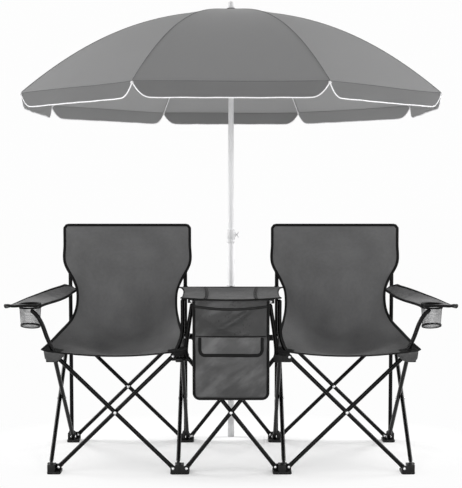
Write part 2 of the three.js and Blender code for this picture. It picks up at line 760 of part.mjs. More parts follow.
// The caps sit on the ends of the table scissor's tubes and hold the table's front corners.
for (const [name, mirror] of [["left", -1], ["right", 1]]) {
  const tube = name === "left" ? "falling" : "rising";
  const x = mirror * capX;
  const y = frontRow + (tube === scissorPlan.table.front ? -lane : lane);
  const cap = block(
    [x - capWidth / 2, y - capDepth / 2, capBottom],
    [x + capWidth / 2, y + capDepth / 2, capTop],
  );
  addNode(`table_cap_${name}`, geometryOf(cap), "plastic");
}

// Umbrella

// A hollow round bar on the Z axis.
function pipe(outer, inner, low, high, sides = 24) {
  const wall = [[inner, low], [outer, low], [outer, high], [inner, high], [inner, low]];
  const profile = wall.map(([r, z]) => new THREE.Vector2(r, z));
  return solidOf(new THREE.LatheGeometry(profile, sides).rotateX(Math.PI / 2));
}

addNode("lower_mast", geometryOf(pipe(mastRadius, mastRadius - mastWall, 0, mastTop)), "mast");
const upperMast = pipe(upperMastRadius, upperMastRadius - mastWall, upperMastBottom, upperMastTop, 20);
addNode("upper_mast", geometryOf(upperMast), "mast");

// The collar grips the lower mast's end, and its screw presses on the upper mast.
const collarBottom = mastTop - collarSeat;
const screwHeight = mastTop + (collarHeight - collarSeat) / 2;
const collar = pipe(collarRadius, upperMastRadius + slidingClearance, collarBottom, collarBottom + collarHeight)
  .subtract(rod([0, 0, collarBottom - overrun], [0, 0, mastTop + gap], mastRadius + gap, 24))
  .subtract(rod([0, 0, screwHeight], [collarRadius + overrun, 0, screwHeight], boreFor(screwRadius)));
addNode("mast_collar", geometryOf(collar), "mast");
const screwStart = upperMastRadius + gap;
const wingEnds = [-overrun, overrun].map((x) => [screwReach + x, 0, screwHeight]);
const wing = rod(...wingEnds, wingRadius, 16);
const screw = rod([screwStart, 0, screwHeight], [screwReach, 0, screwHeight], screwRadius);
addNode("collar_screw", geometryOf(screw.add(wing)), "mast");

// The holder: a ring round the mast and a strap forward to a sleeve under the table's rear edge.
const holderLow = holderMidHeight - holderHeight / 2;
const holderHigh = holderMidHeight + holderHeight / 2;
const ringInner = mastRadius + slidingClearance;
const ring = pipe(ringInner + holderWall, ringInner, holderLow, holderHigh);
const barY = rearRow + tubeRadius + gap + holderWall;
const bar = block(
  [-innerColumn + tubeRadius, barY - holderWall, holderLow],
  [innerColumn - tubeRadius, barY, holderHigh],
);
const neck = block([-holderWall, barY - holderWall, holderLow], [holderWall, -ringInner - gap, holderHigh]);
const endHooks = [-1, 1].map((mirror) =>
  block(
    [mirror > 0 ? innerColumn - tubeRadius : -innerColumn - tubeRadius, barY - holderWall, holderLow],
    [mirror > 0 ? innerColumn + tubeRadius : -innerColumn + tubeRadius, barY, holderHigh],
  ),
);
addNode("mast_holder", geometryOf(joined([ring, bar, neck, ...endHooks])), "plastic");

// The ribs' curve: a parabola from the crown to the tips, drawn in a little near the crown.
function ribHeight(share) {
  const drawnIn = crownPeakShare * share * (1 - share) ** 3;
  return ribTipHeight + (canopyTop - ribTipHeight) * (1 - share * share - drawnIn);
}
const ribTurn = (index) => ((index + 0.5) / ribCount) * Math.PI * 2;
const ribDrop = canopyThickness + ribRadius * ribTiltShare + 2 * gap;

// A point on a rib's middle line.
function onRib(turn, share, drop) {
  const r = ribReach * share;
  return [r * Math.sin(turn), -r * Math.cos(turn), ribHeight(share) - drop];
}

const hubTop = ribHeight(hubRadius / ribReach) - ribDrop + ribRadius;
const ribSolids = [pipe(hubRadius, upperMastRadius + gap, hubTop - hubHeight, hubTop, 16)];
for (let i = 0; i < ribCount; i++) {
  const points = [];
  for (let step = 0; step <= 6; step++) {
    const share = lerp((hubRadius * rootShare) / ribReach, ribEndShare, step / 6);
    points.push(onRib(ribTurn(i), share, ribDrop));
  }
  ribSolids.push(bentTube(points, ribRadius, 7, 5));
}
addNode("rib_frame", geometryOf(joined(ribSolids)), "mast");

const runnerLow = runnerMidHeight - runnerHeight / 2;
const runnerHigh = runnerMidHeight + runnerHeight / 2;
const strutSolids = [pipe(runnerRadius, upperMastRadius + slidingClearance, runnerLow, runnerHigh, 16)];
for (let i = 0; i < ribCount; i++) {
  const turn = ribTurn(i);
  const low = runnerRadius * rootShare;
  const from = [low * Math.sin(turn), -low * Math.cos(turn), runnerHigh - strutRadius * 2];
  const reachDrop = ribDrop + ribRadius + strutRadius * strutTiltShare + gap;
  strutSolids.push(rod(from, onRib(turn, strutReachShare, reachDrop), strutRadius, 6));
}
addNode("strut_frame", geometryOf(joined(strutSolids)), "mast");

// A point of the canopy: out from the crown to the ribs' tips, then down the valance. The inner face lies depth
// below the dome and depth inside the valance.
const domeShare = 0.875; // of the way down, where the valance starts
function canopyAt(down, round, depth) {
  const panel = round * ribCount;
  const index = Math.floor(panel) % ribCount;
  const across = panel - Math.floor(panel);
  const startShare = canopyHoleRadius / ribReach;
  const share = lerp(startShare, 1, Math.min(1, down / domeShare)) * (1 - depth / ribReach);
  const a = onRib(ribTurn(index), share, 0);
  const b = onRib(ribTurn(index + 1), share, 0);
  const sag = panelSag * 4 * across * (1 - across) * share * share;
  const hang = Math.max(0, (down - domeShare) / (1 - domeShare));
  const edge = Math.abs(2 * across - 1);
  const drop = (valanceDepth - valanceNotch * edge ** 6) * hang;
  return [lerp(a[0], b[0], across), lerp(a[1], b[1], across), ribHeight(share) - sag - lerp(depth, drop, hang)];
}

// The canopy is a ring of panels: its grid closes on itself round the mast.
function ringShell(rows, cols, outerAt, innerAt) {
  const points = [];
  for (const at of [outerAt, innerAt])
    for (let r = 0; r <= rows; r++) for (let c = 0; c < cols; c++) points.push(...at(r / rows, c / cols));
  const layer = (rows + 1) * cols;
  const id = (side, r, c) => side * layer + r * cols + (c % cols);
  const faces = [];
  const quad = (a, b, c, d) => faces.push(a, b, c, a, c, d);
  for (let c = 0; c < cols; c++) {
    for (let r = 0; r < rows; r++) {
      quad(id(0, r, c), id(0, r + 1, c), id(0, r + 1, c + 1), id(0, r, c + 1));
      quad(id(1, r, c), id(1, r, c + 1), id(1, r + 1, c + 1), id(1, r + 1, c));
    }
    quad(id(0, 0, c), id(0, 0, c + 1), id(1, 0, c + 1), id(1, 0, c));
    quad(id(0, rows, c + 1), id(0, rows, c), id(1, rows, c), id(1, rows, c + 1));
  }
  const geometry = new THREE.BufferGeometry();
  geometry.setAttribute("position", new THREE.Float32BufferAttribute(points, 3));
  geometry.setIndex(faces);
  return solidOf(geometry);
}
const canopy = ringShell(
  8,
  ribCount * 4,
  (down, round) => canopyAt(down, round, 0),
  (down, round) => canopyAt(down, round, canopyThickness),
);
addNode("canopy", geometryOf(canopy), "canopy");

const finialProfile = finialShares.map(([r, z]) => new THREE.Vector2(r * finialRadius, z * finialHeight));
const capSeat = ribHeight(canopyHoleRadius / ribReach) + gap; // on the canopy's rim
const finial = new THREE.LatheGeometry(finialProfile, 20).rotateX(Math.PI / 2);
addNode("top_cap", geometryOf(solidOf(finial)), "mast").position.z = capSeat;

export default part;
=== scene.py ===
"""The looks of a double folding camp chair with a table, a cooler bag and an umbrella.

Lengths are in metres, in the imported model's own frame: the origin lies on the floor under the mast, the
sitters face -Y, and +X is to the right of someone who looks at the front.
"""

from __future__ import annotations

import functools
import itertools
import json
import logging
import math
import operator
from dataclasses import dataclass
from enum import Enum
from typing import Any, Iterable, Sequence

import bmesh
import bpy
import numpy as np
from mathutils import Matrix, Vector

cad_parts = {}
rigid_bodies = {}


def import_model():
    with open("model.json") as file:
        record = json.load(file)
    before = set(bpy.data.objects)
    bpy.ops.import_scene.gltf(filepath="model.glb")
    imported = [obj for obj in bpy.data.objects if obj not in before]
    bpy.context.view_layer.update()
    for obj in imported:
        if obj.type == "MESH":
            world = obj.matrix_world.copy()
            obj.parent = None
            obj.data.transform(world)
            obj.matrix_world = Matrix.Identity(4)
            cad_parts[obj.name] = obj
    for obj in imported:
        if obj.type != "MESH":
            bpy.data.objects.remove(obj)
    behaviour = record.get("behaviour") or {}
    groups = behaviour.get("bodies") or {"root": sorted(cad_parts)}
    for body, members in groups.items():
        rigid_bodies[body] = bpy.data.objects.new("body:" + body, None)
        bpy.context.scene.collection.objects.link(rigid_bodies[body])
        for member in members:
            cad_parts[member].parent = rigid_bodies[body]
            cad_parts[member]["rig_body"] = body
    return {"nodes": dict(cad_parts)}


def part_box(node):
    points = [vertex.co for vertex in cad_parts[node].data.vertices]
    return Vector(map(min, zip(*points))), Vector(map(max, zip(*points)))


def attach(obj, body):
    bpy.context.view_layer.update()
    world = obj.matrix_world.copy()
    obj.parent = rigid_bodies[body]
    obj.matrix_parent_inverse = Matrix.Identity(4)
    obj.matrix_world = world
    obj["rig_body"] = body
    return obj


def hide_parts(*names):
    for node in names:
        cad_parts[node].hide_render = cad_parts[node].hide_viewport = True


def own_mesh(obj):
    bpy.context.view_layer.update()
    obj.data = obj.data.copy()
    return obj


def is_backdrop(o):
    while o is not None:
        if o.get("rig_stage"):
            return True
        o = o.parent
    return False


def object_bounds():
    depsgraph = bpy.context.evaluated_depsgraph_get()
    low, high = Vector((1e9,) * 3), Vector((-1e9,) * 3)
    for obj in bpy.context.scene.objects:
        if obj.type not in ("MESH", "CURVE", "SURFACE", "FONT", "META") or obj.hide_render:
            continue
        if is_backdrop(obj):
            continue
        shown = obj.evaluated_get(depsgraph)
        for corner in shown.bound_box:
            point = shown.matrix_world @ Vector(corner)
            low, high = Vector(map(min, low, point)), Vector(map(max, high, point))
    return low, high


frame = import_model()
CAD_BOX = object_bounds()
LOG = logging.getLogger("umbrella_chair")
TURN = 2 * math.pi
UP = (0, 0, 1)
# Places worked out on each stretch of a smooth path.
STEPS = 8


# Surfaces


@dataclass
class Skin:
    """Points and faces of a surface, and the place in the cloth's pattern of each point."""

    points: np.ndarray
    faces: list[np.ndarray]
    cloth: np.ndarray | None = None

    def __add__(self, other: Skin) -> Skin:
        """Both surfaces as one."""
        later = [block + len(self.points) for block in other.faces]
        cloth = None if self.cloth is None or other.cloth is None else np.vstack([self.cloth, other.cloth])
        return Skin(np.vstack([self.points, other.points]), self.faces + later, cloth)

    def moved(self, by: Sequence[float]) -> Skin:
        """The surface at another place."""
        return Skin(self.points + np.asarray(by), self.faces, self.cloth)


def together(skins: Iterable[Skin]) -> Skin:
    """Several surfaces as one."""
    return functools.reduce(operator.add, skins)


def unit(vectors: np.ndarray) -> np.ndarray:
    """The vectors, each divided by its length."""
    return vectors / np.maximum(np.linalg.norm(vectors, axis=-1, keepdims=True), 1e-12)


def grid_faces(rows: int, cols: int, wrap: bool) -> np.ndarray:
    """The four corners of each cell of a grid of points, row after row.

    Args:
        rows: Rows of points.
        cols: Points in a row.
        wrap: Whether the last point of a row is joined to the first.

    Returns:
        An array of four indices a cell.
    """
    row, col = np.meshgrid(np.arange(rows - 1), np.arange(cols if wrap else cols - 1), indexing="ij")
    here, beside = row * cols + col, row * cols + (col + 1) % cols
    return np.stack([here, beside, beside + cols, here + cols], -1).reshape(-1, 4)


def loft(rings: np.ndarray, loop: bool = False) -> Skin:
    """A closed body through a stack of rings. Its ends are flat faces, unless the stack closes on itself.

    Args:
        rings: Points as stack, ring and coordinate.
        loop: Whether the last ring joins the first.

    Returns:
        The body's skin.
    """
    count, sides = rings.shape[:2]
    if loop:
        rings = np.concatenate([rings, rings[:1]])
    faces = [grid_faces(len(rings), sides, True)]
    if loop:
        return Skin(rings[:-1].reshape(-1, 3), [faces[0] % (count * sides)])
    ends = np.stack([np.arange(sides)[::-1], np.arange(sides) + (count - 1) * sides])
    return Skin(rings.reshape(-1, 3), [*faces, ends])


def smooth_path(points: Sequence[Sequence[float]], steps: int = STEPS) -> np.ndarray:
    """A curve through points. On each stretch it is the cubic whose slope at a point is half the step between
    the point's neighbours.

    Args:
        points: The points that it passes.
        steps: Places worked out on each stretch.

    Returns:
        The curve's points.
    """
    p = np.asarray(points, float)
    padded = np.vstack([p[:1], p, p[-1:]])
    a, b, c, d = (padded[i : len(padded) - 3 + i, None] for i in range(4))
    t = (np.arange(steps) / steps)[None, :, None]
    curve = b + t / 2 * (c - a + t * (2 * a - 5 * b + 4 * c - d + t * (3 * (b - c) + d - a)))
    return np.vstack([curve.reshape(-1, p.shape[1]), p[-1:]])


def sweep(path: np.ndarray, wide: Any, high: Any, up: Any, sides: int = 16, loop: bool = False) -> Skin:
    """An oval section carried along a path: a point is the path's point, plus wide times the cosine of its
    turn across the path, plus high times the sine along up.

    Args:
        path: The middle line.
        wide: Half width of the section, one number or one a point.
        high: Half height of the section.
        up: Direction of the height, one vector or one a point.
        sides: Points round the section.
        loop: Whether the path closes on itself.

    Returns:
        The body's skin.
    """
    ahead = np.roll(path, -1, 0) - np.roll(path, 1, 0) if loop else np.gradient(path, axis=0)
    tangent = unit(ahead)
    across = unit(np.cross(tangent, up))
    lift = np.cross(across, tangent)
    turn = np.arange(sides) / sides * TURN
    wides = np.broadcast_to(wide, len(path))[:, None] * np.cos(turn)
    highs = np.broadcast_to(high, len(path))[:, None] * np.sin(turn)
    rings = path[:, None] + wides[..., None] * across[:, None] + highs[..., None] * lift[:, None]
    return loft(rings, loop)


def rounded_ring(half_x: Any, half_y: Any, corner: Any, count: int = 24) -> np.ndarray:
    """Rectangles with round corners: a circle of the corner's radius, each quarter pushed out to its corner.

    Args:
        half_x: Half of each rectangle's first side.
        half_y: Half of its second side.
        corner: Its corners' radius.
        count: Points round it.

    Returns:
        Points as rectangle, point and coordinate.
    """
    turn = (np.arange(count) + 0.5) / count * TURN
    cos, sin = np.cos(turn), np.sin(turn)
    half_x, half_y, corner = (np.atleast_1d(v)[:, None] for v in np.broadcast_arrays(half_x, half_y, corner))
    x = np.sign(cos) * (half_x - corner) + corner * cos
    y = np.sign(sin) * (half_y - corner) + corner * sin
    return np.stack([x, y], -1)


def block(low: Sequence[float], high: Sequence[float], corner: float, edge: float, axis: int = 2) -> Skin:
    """A block whose section square to an axis has round corners, and whose two end faces have rounded edges.

    Args:
        low: Lowest corner.
        high: Highest corner.
        corner: Radius of the section's corners.
        edge: Radius of the end faces' edges.
        axis: Which axis the section is square to.

    Returns:
        The block's skin.
    """
    low, high = np.minimum(low, high), np.maximum(low, high)
    first, second = (axis + 1) % 3, (axis + 2) % 3
    turn = np.linspace(0, math.pi / 2, 4)
    depth, inset = edge * (1 - np.cos(turn)), edge * (1 - np.sin(turn))
    level = np.concatenate([low[axis] + depth, high[axis] - depth[::-1]])
    inset = np.concatenate([inset, inset[::-1]])
    half, middle = (high - low) / 2, (high + low) / 2
    corner = min(corner, *(half[[first, second]] - edge * 0.5))
    corners = np.maximum(corner - inset / 2, corner / 3)
    section = rounded_ring(half[first] - inset, half[second] - inset, corners)
    rings = np.empty((len(level), section.shape[1], 3))
    rings[..., axis] = level[:, None]
    rings[..., first] = section[..., 0] + middle[first]
    rings[..., second] = section[..., 1] + middle[second]
    return loft(rings)


def turned(
    profile: Sequence[Sequence[float]], origin: Sequence[float], axis: Sequence[float], sides: int = 32
) -> Skin:
    """A profile turned about an axis.

    Args:
        profile: Radii, and heights along the axis.
        origin: A point on the axis, where the height is 0.
        axis: The axis.
        sides: Points round it.

    Returns:
        The body's skin.
    """
    radius, height = np.asarray(profile, float).T
    along = unit(np.asarray(axis, float))
    side = unit(np.cross(along, [0.3, 0.5, 0.8]))
    other = np.cross(along, side)
    turn = np.arange(sides) / sides * TURN
    spokes = np.cos(turn)[:, None] * side + np.sin(turn)[:, None] * other
    rings = np.asarray(origin) + height[:, None, None] * along + radius[:, None, None] * spokes
    return loft(rings)


def hollow(
    profile: Sequence[Sequence[float]], origin: Sequence[float], axis: Sequence[float], sides: int = 32
) -> Skin:
    """A closed profile turned about an axis, with an open middle.

    Args:
        profile: Radii, and heights along the axis, in a ring.
        origin: A point on the axis, where the height is 0.
        axis: The axis.
        sides: Points round it.

    Returns:
        The body's skin.
    """
    skin = turned(profile, origin, axis, sides)
    rings = skin.points.reshape(len(profile), sides, 3)
    return loft(rings, loop=True)


def sheet(
    front: np.ndarray, thickness: float, cloth: np.ndarray, wrap: bool = False, flip: bool = False
) -> Skin:
    """A sheet of cloth with two faces and a rim. The back face lies one thickness along the grid's normal,
    which is the cross product of its slopes.

    Args:
        front: Points of the front face as rows, columns and coordinate.
        thickness: Thickness of the cloth.
        cloth: For each point, its place across and along the cloth and its distance from the nearest seam.
        wrap: Whether the columns close on themselves.
        flip: Whether the back lies on the other side.

    Returns:
        The sheet's skin.
    """
    rows, cols = front.shape[:2]
    down = np.gradient(front, axis=0)
    beside = np.roll(front, -1, 1) - np.roll(front, 1, 1) if wrap else np.gradient(front, axis=1)
    normal = unit(np.cross(down, beside)) * (-1 if flip else 1)
    back = front - normal * thickness
    cells = grid_faces(rows, cols, wrap)
    other = cells[:, ::-1] + rows * cols
    index = np.arange(rows * cols).reshape(rows, cols)
    if wrap:
        lines = [np.append(index[0], index[0, 0]), np.append(index[-1], index[-1, 0])[::-1]]
    else:
        lines = [np.concatenate([index[0], index[1:, -1], index[-1, -2::-1], index[-2::-1, 0]])]
    rims = [np.stack([a[1:], a[:-1], a[:-1] + rows * cols, a[1:] + rows * cols], -1) for a in lines]
    places = cloth.reshape(-1, 3)
    points = np.vstack([front.reshape(-1, 3), back.reshape(-1, 3)])
    return Skin(points, [cells, other, *rims], np.vstack([places, places]))


def boundary(grid: np.ndarray) -> np.ndarray:
    """The closed line round a grid of points."""
    return np.concatenate([grid[0], grid[1:, -1], grid[-1, -2::-1], grid[-2:0:-1, 0]])


def cloth_area(grid: np.ndarray, wrap: bool = False) -> float:
    """Area of a grid's cells: half the length of the cross product of each cell's diagonals.

    Args:
        grid: Points as rows, columns and coordinate.
        wrap: Whether the columns close on themselves.

    Returns:
        The area in square metres.
    """
    corners = grid.reshape(-1, 3)[grid_faces(*grid.shape[:2], wrap)]
    diagonals = np.cross(corners[:, 2] - corners[:, 0], corners[:, 3] - corners[:, 1])
    return float(np.linalg.norm(diagonals, axis=1).sum() / 2)


def smoothstep(value: Any, low: float, high: float) -> Any:
    """0 under low, 1 over high, and an even S between them."""
    t = np.clip((value - low) / (high - low), 0, 1)
    return t * t * (3 - 2 * t)


def lerp(low: Any, high: Any, share: Any) -> Any:
    """The value at a share of the way from low to high."""
    return low + (high - low) * share


def rows_curve(table: np.ndarray, places: np.ndarray) -> np.ndarray:
    """A smooth curve through the rows of a table, at places counted in rows.

    Args:
        table: The rows.
        places: Where it is read.

    Returns:
        A row for each place.
    """
    last = len(table) - 1
    row = np.minimum(places.astype(int), last - 1)
    a, b, c, d = (table[np.clip(row + i, 0, last)] for i in (-1, 0, 1, 2))
    t = (places - row)[..., None]
    return (
        (2 * t**3 - 3 * t**2 + 1) * b
        + (t**3 - 2 * t**2 + t) * (c - a) / 2
        + (3 * t**2 - 2 * t**3) * c
        + (t**3 - t**2) * (d - b) / 2
    )


# Shaders


class Value:
    """A shader socket that Python's operators work on, each of which adds a Math node."""

    def __init__(self, graph: Graph, socket: bpy.types.NodeSocket) -> None:
        """Wraps a socket of a graph."""
        self.graph, self.socket = graph, socket

    def __add__(self, other: Value | float) -> Value:
        """The sum."""
        return self.graph.maths("ADD", self, other)

    __radd__ = __add__

    def __mul__(self, other: Value | float) -> Value:
        """The product."""
        return self.graph.maths("MULTIPLY", self, other)

    __rmul__ = __mul__

    def __sub__(self, other: Value | float) -> Value:
        """The difference."""
        return self.graph.maths("SUBTRACT", self, other)

    def __rsub__(self, other: float) -> Value:
        """The difference from a number."""
        return self.graph.maths("SUBTRACT", other, self)

    def __abs__(self) -> Value:
        """The size without its sign."""
        return self.graph.maths("ABSOLUTE", self)

    def wave(self, length: float) -> Value:
        """The sine that repeats at every length."""
        return self.graph.maths("SINE", self * (TURN / length))

    def least(self, other: Value | float) -> Value:
        """The smaller of two values."""
        return self.graph.maths("MINIMUM", self, other)

    def step(self, low: float, high: float) -> Value:
        """0 under low, 1 over high, and an even S between them."""
        ends = {"Value": self, "From Min": low, "From Max": high}
        return self.graph.node("ShaderNodeMapRange", {"interpolation_type": "SMOOTHSTEP"}, ends, "Result")


class Graph:
    """The nodes of a material or of the surround."""

    def __init__(self, owner: bpy.types.Material | bpy.types.World) -> None:
        """Empties the owner's node tree and takes it over."""
        owner.use_nodes = True
        self.owner, self.tree = owner, owner.node_tree
        self.tree.nodes.clear()

    def node(
        self, kind: str, settings: dict[str, Any], inputs: dict[str, Any], output: str | int = 0
    ) -> Value:
        """Adds a node.

        Args:
            kind: The node's type.
            settings: Its own settings, which are set first.
            inputs: A value or a Value for each named socket.
            output: Which output is wanted.

        Returns:
            That output.
        """
        node = self.tree.nodes.new(kind)
        for name, value in settings.items():
            setattr(node, name, value)
        for name, value in inputs.items():
            exact = [socket for socket in node.inputs if socket.identifier == name]
            found = (exact or [socket for socket in node.inputs if socket.name == name])[0]
            if isinstance(value, Value):
                self.tree.links.new(value.socket, found)
            else:
                found.default_value = value
        return Value(self, node.outputs[output])

    def maths(self, operation: str, first: Value | float, second: Value | float = 0.0) -> Value:
        """A Math node on one or two values."""
        ends = {"Value": first, "Value_001": second}
        return self.node("ShaderNodeMath", {"operation": operation}, ends)

    def parts(self, vector: Value) -> list[Value]:
        """The three numbers of a vector."""
        return [self.node("ShaderNodeSeparateXYZ", {}, {"Vector": vector}, axis) for axis in "XYZ"]

    def joined(self, x: Value | float, y: Value | float, z: Value | float) -> Value:
        """A vector of three numbers."""
        return self.node("ShaderNodeCombineXYZ", {}, {"X": x, "Y": y, "Z": z})

    def place(self) -> Value:
        """Object coordinates."""
        return self.node("ShaderNodeTexCoord", {}, {}, "Object")

    def cloth(self) -> Value:
        """The cloth's own pattern place: across it, along it, and the distance from the nearest seam."""
        return self.node("ShaderNodeAttribute", {"attribute_name": "cloth"}, {}, "Vector")

    def noise(self, vector: Value, size: float, detail: float = 3.0) -> Value:
        """Soft noise from 0 to 1 whose blots are about that size."""
        return self.node("ShaderNodeTexNoise", {}, {"Vector": vector, "Scale": 1 / size, "Detail": detail})

    def tint(self, colour: Sequence[float], shade: Value) -> Value:
        """A colour made lighter or darker by a shade."""
        ends = {"Vector": tuple(colour), "Scale": shade}
        return self.node("ShaderNodeVectorMath", {"operation": "SCALE"}, ends)

    def bump(self, height: Value, depth: float, strength: float = 1.0) -> Value:
        """A normal from a height between 0 and 1, that stands for that depth."""
        return self.node("ShaderNodeBump", {}, {"Height": height, "Distance": depth, "Strength": strength})

    def close(self, kind: str, surface: Value) -> None:
        """Adds the output node, of that kind, behind the surface."""
        output = self.tree.nodes.new(kind)
        self.tree.links.new(surface.socket, output.inputs["Surface"])

    def finish(self, through: float = 0.0, **inputs: Any) -> bpy.types.Material:
        """Closes a material's graph with a surface.

        Args:
            through: How much of the light passes through to the other side, as in thin cloth.
            inputs: Socket values, with underscores for the spaces in their names.

        Returns:
            The material.
        """
        names = {key.replace("_", " "): value for key, value in inputs.items()}
        surface = self.node("ShaderNodeBsdfPrincipled", {}, names)
        if through:
            glow = self.node("ShaderNodeBsdfTranslucent", {}, {"Color": (0.8, 0.8, 0.8, 1)})
            both = {"Fac": through, "Shader": surface, "Shader_001": glow}
            surface = self.node("ShaderNodeMixShader", {}, both)
        self.close("ShaderNodeOutputMaterial", surface)
        return self.owner


def seen_directly(graph: Graph) -> Value:
    """1 for a ray that comes straight from the camera, or by a reflection or a clear piece, and else 0.

    Args:
        graph: The graph that it is worked out in.

    Returns:
        The value.
    """
    kinds = ("Camera", "Glossy", "Transmission")
    rays = [graph.node("ShaderNodeLightPath", {}, {}, f"Is {kind} Ray") for kind in kinds]
    return rays[0] + rays[1] + rays[2]


# Finishes


def grey(value: int) -> tuple[float, float, float]:
    """The linear colour of a grey as a screen writes it, from 0 to 255.

    Args:
        value: The grey.

    Returns:
        Red, green, and one percent more blue.
    """
    share = value / 255
    linear = ((share + 0.055) / 1.055) ** 2.4 if share > 0.04045 else share / 12.92
    return (linear, linear, linear * 1.01)


@dataclass(frozen=True)
class Finish:
    """A look: its name, its main colour, and the name of a CAD material, which is not used."""

    name: str
    colour: tuple[float, float, float]
    slot: str

    def graph(self) -> Graph:
        """An empty graph for its material."""
        return Graph(bpy.data.materials.new(self.name))

    def material(self) -> bpy.types.Material:
        """Makes its material."""
        raise NotImplementedError


@dataclass(frozen=True)
class WovenCloth(Finish):
    """Plain woven polyester: yarns over and under, soft mottling, and a row of stitches beside each seam.

    A band past one place along the cloth may be darker, which is painted shade, and slanting streaks may be
    lighter, which are a painted sheen.
    """

    yarn: float = 0.0009
    mottle: float = 0.22
    rough: float = 0.82
    sheen: float = 0.12
    stitch_at: float = 0.009
    stitch: float = 0.0045
    through: float = 0.0
    broad: float = 0.0
    painted_shade_at: float = 9.0
    painted_shade: float = 0.0
    painted_shade_width: float = 0.006
    painted_sheen: float = 0.0

    def material(self) -> bpy.types.Material:
        """Yarns are the product of two sines, and stitches a broken line at a set distance from the seam.

        Returns:
            The material.
        """
        g = self.graph()
        cloth = g.cloth()
        across, along, seam = g.parts(cloth)
        weave = across.wave(self.yarn) * along.wave(self.yarn)
        blots = g.noise(cloth, 0.09, 4) + g.noise(cloth, 0.013, 2) * 0.6 + g.noise(cloth, 0.0022, 1) * 0.5
        clouds = g.noise(cloth, 0.16, 1) - 0.5
        # Darker past a place along the cloth: painted shade.
        painted_shade = along.step(self.painted_shade_at, self.painted_shade_at + self.painted_shade_width)
        # Slanting streaks that lighten the cloth: a painted sheen on its creases.
        slanted = g.joined((along * 1.3 - across) * 15, (along + across) * 8, 0.3)
        painted_sheen = g.noise(slanted, 1.0, 3).step(0.46, 0.74)
        line = 1 - (abs(seam - self.stitch_at)).step(0.0004, 0.0011)
        thread = line * (across + along).wave(self.stitch).step(-0.5, 0.1)
        hem = 1 - seam.step(0.0, self.stitch_at)
        shade = 1 + (blots - 1.05) * self.mottle + weave * 0.05 - line * 0.22 + thread * 0.25 - hem * 0.08
        # Minus the painted shade of the band, plus the painted sheen of the streaks.
        shade = shade + clouds * self.broad - painted_shade * self.painted_shade + painted_sheen * self.painted_sheen
        height = weave * 0.25 + thread * 0.5 - line * 0.6 + blots * 0.35
        return g.finish(
            self.through,
            Base_Color=g.tint(self.colour, shade),
            Roughness=self.rough + (blots - 1.05) * 0.12,
            Sheen_Weight=self.sheen,
            Sheen_Roughness=0.5,
            Specular_IOR_Level=0.3,
            Normal=g.bump(height, 0.0006, 0.5),
        )


@dataclass(frozen=True)
class Tape(Finish):
    """Woven edge tape: ribs across it and a slight gloss."""

    rib: float = 0.0016
    rough: float = 0.6

    def material(self) -> bpy.types.Material:
        """Ribs are a sine along the object's diagonal, broken up by fine noise.

        Returns:
            The material.
        """
        g = self.graph()
        place = g.place()
        x, y, z = g.parts(place)
        ribs = (x + y * 0.7 + z).wave(self.rib)
        blots = g.noise(place, 0.012, 3)
        return g.finish(
            Base_Color=g.tint(self.colour, 0.8 + blots * 0.4 + ribs * 0.12),
            Roughness=self.rough + (blots - 0.5) * 0.2,
            Specular_IOR_Level=0.12,
            Normal=g.bump(ribs * 0.5 + blots, 0.0004, 0.5),
        )


@dataclass(frozen=True)
class Enamel(Finish):
    """Sprayed and baked enamel on steel tube: glossy, with a faint orange peel, rub marks, and a tone near
    the floor that is dust where it is lighter and painted shade where it is darker.
    """

    rough: float = 0.2
    level: float = 0.1
    wear: float = 0.5
    dust_and_shade: float = 0.5
    dust_and_shade_top: float = 0.25

    def material(self) -> bpy.types.Material:
        """The peel is fine noise in the bump, rub marks are sharp noise, and the tone near the floor, lighter
        as dust and darker as painted shade, fades out higher up.

        Returns:
            The material.
        """
        g = self.graph()
        place = g.place()
        peel = g.noise(place, 0.003, 2)
        rubs = g.noise(place, 0.02, 6).step(0.56, 0.72)
        # Near the floor a positive amount lightens as dust, and a negative one darkens as painted shade.
        dust_and_shade = (1 - g.parts(place)[2].step(0.02, self.dust_and_shade_top)) * g.noise(place, 0.03, 4)
        return g.finish(
            Base_Color=g.tint(self.colour, 1 + rubs * self.wear + dust_and_shade * self.dust_and_shade),
            Roughness=self.rough + rubs * 0.12 + dust_and_shade * 0.2,
            Specular_IOR_Level=self.level,
            Normal=g.bump(peel, 0.00008, 0.6),
        )


@dataclass(frozen=True)
class MouldedPlastic(Finish):
    """Injection-moulded plastic with a fine spark grain and rubbed patches."""

    rough: float = 0.42
    level: float = 0.3
    rub: float = 0.4

    def material(self) -> bpy.types.Material:
        """The grain is very fine noise in the bump, and rubbed patches change the colour.

        Returns:
            The material.
        """
        g = self.graph()
        place = g.place()
        grain = g.noise(place, 0.0007, 2)
        rubs = g.noise(place, 0.012, 5).step(0.5, 0.75)
        return g.finish(
            Base_Color=g.tint(self.colour, 0.97 + grain * 0.06 + rubs * self.rub),
            Roughness=self.rough + (grain - 0.5) * 0.15 - rubs * 0.08,
            Specular_IOR_Level=self.level,
            Normal=g.bump(grain, 0.00012, 0.5),
        )


@dataclass(frozen=True)
class KnittedNet(Finish):
    """Open net: threads in two slanting directions, with see-through holes between them."""

    mesh: float = 0.0030
    thread: float = 0.3

    def material(self) -> bpy.types.Material:
        """A thread lies where either slanting wave is near its zero.

        Returns:
            The material.
        """
        g = self.graph()
        across, along, _ = g.parts(g.cloth())
        one, two = abs((across + along).wave(2 * self.mesh)), abs((across - along).wave(2 * self.mesh))
        nearest = one.least(two)
        return g.finish(
            Base_Color=g.tint(self.colour, 0.8 + g.noise(g.cloth(), 0.02, 3) * 0.4),
            Roughness=0.75,
            Alpha=1 - nearest.step(self.thread, self.thread + 0.2),
            Normal=g.bump(nearest * -1, 0.0006, 0.6),
        )


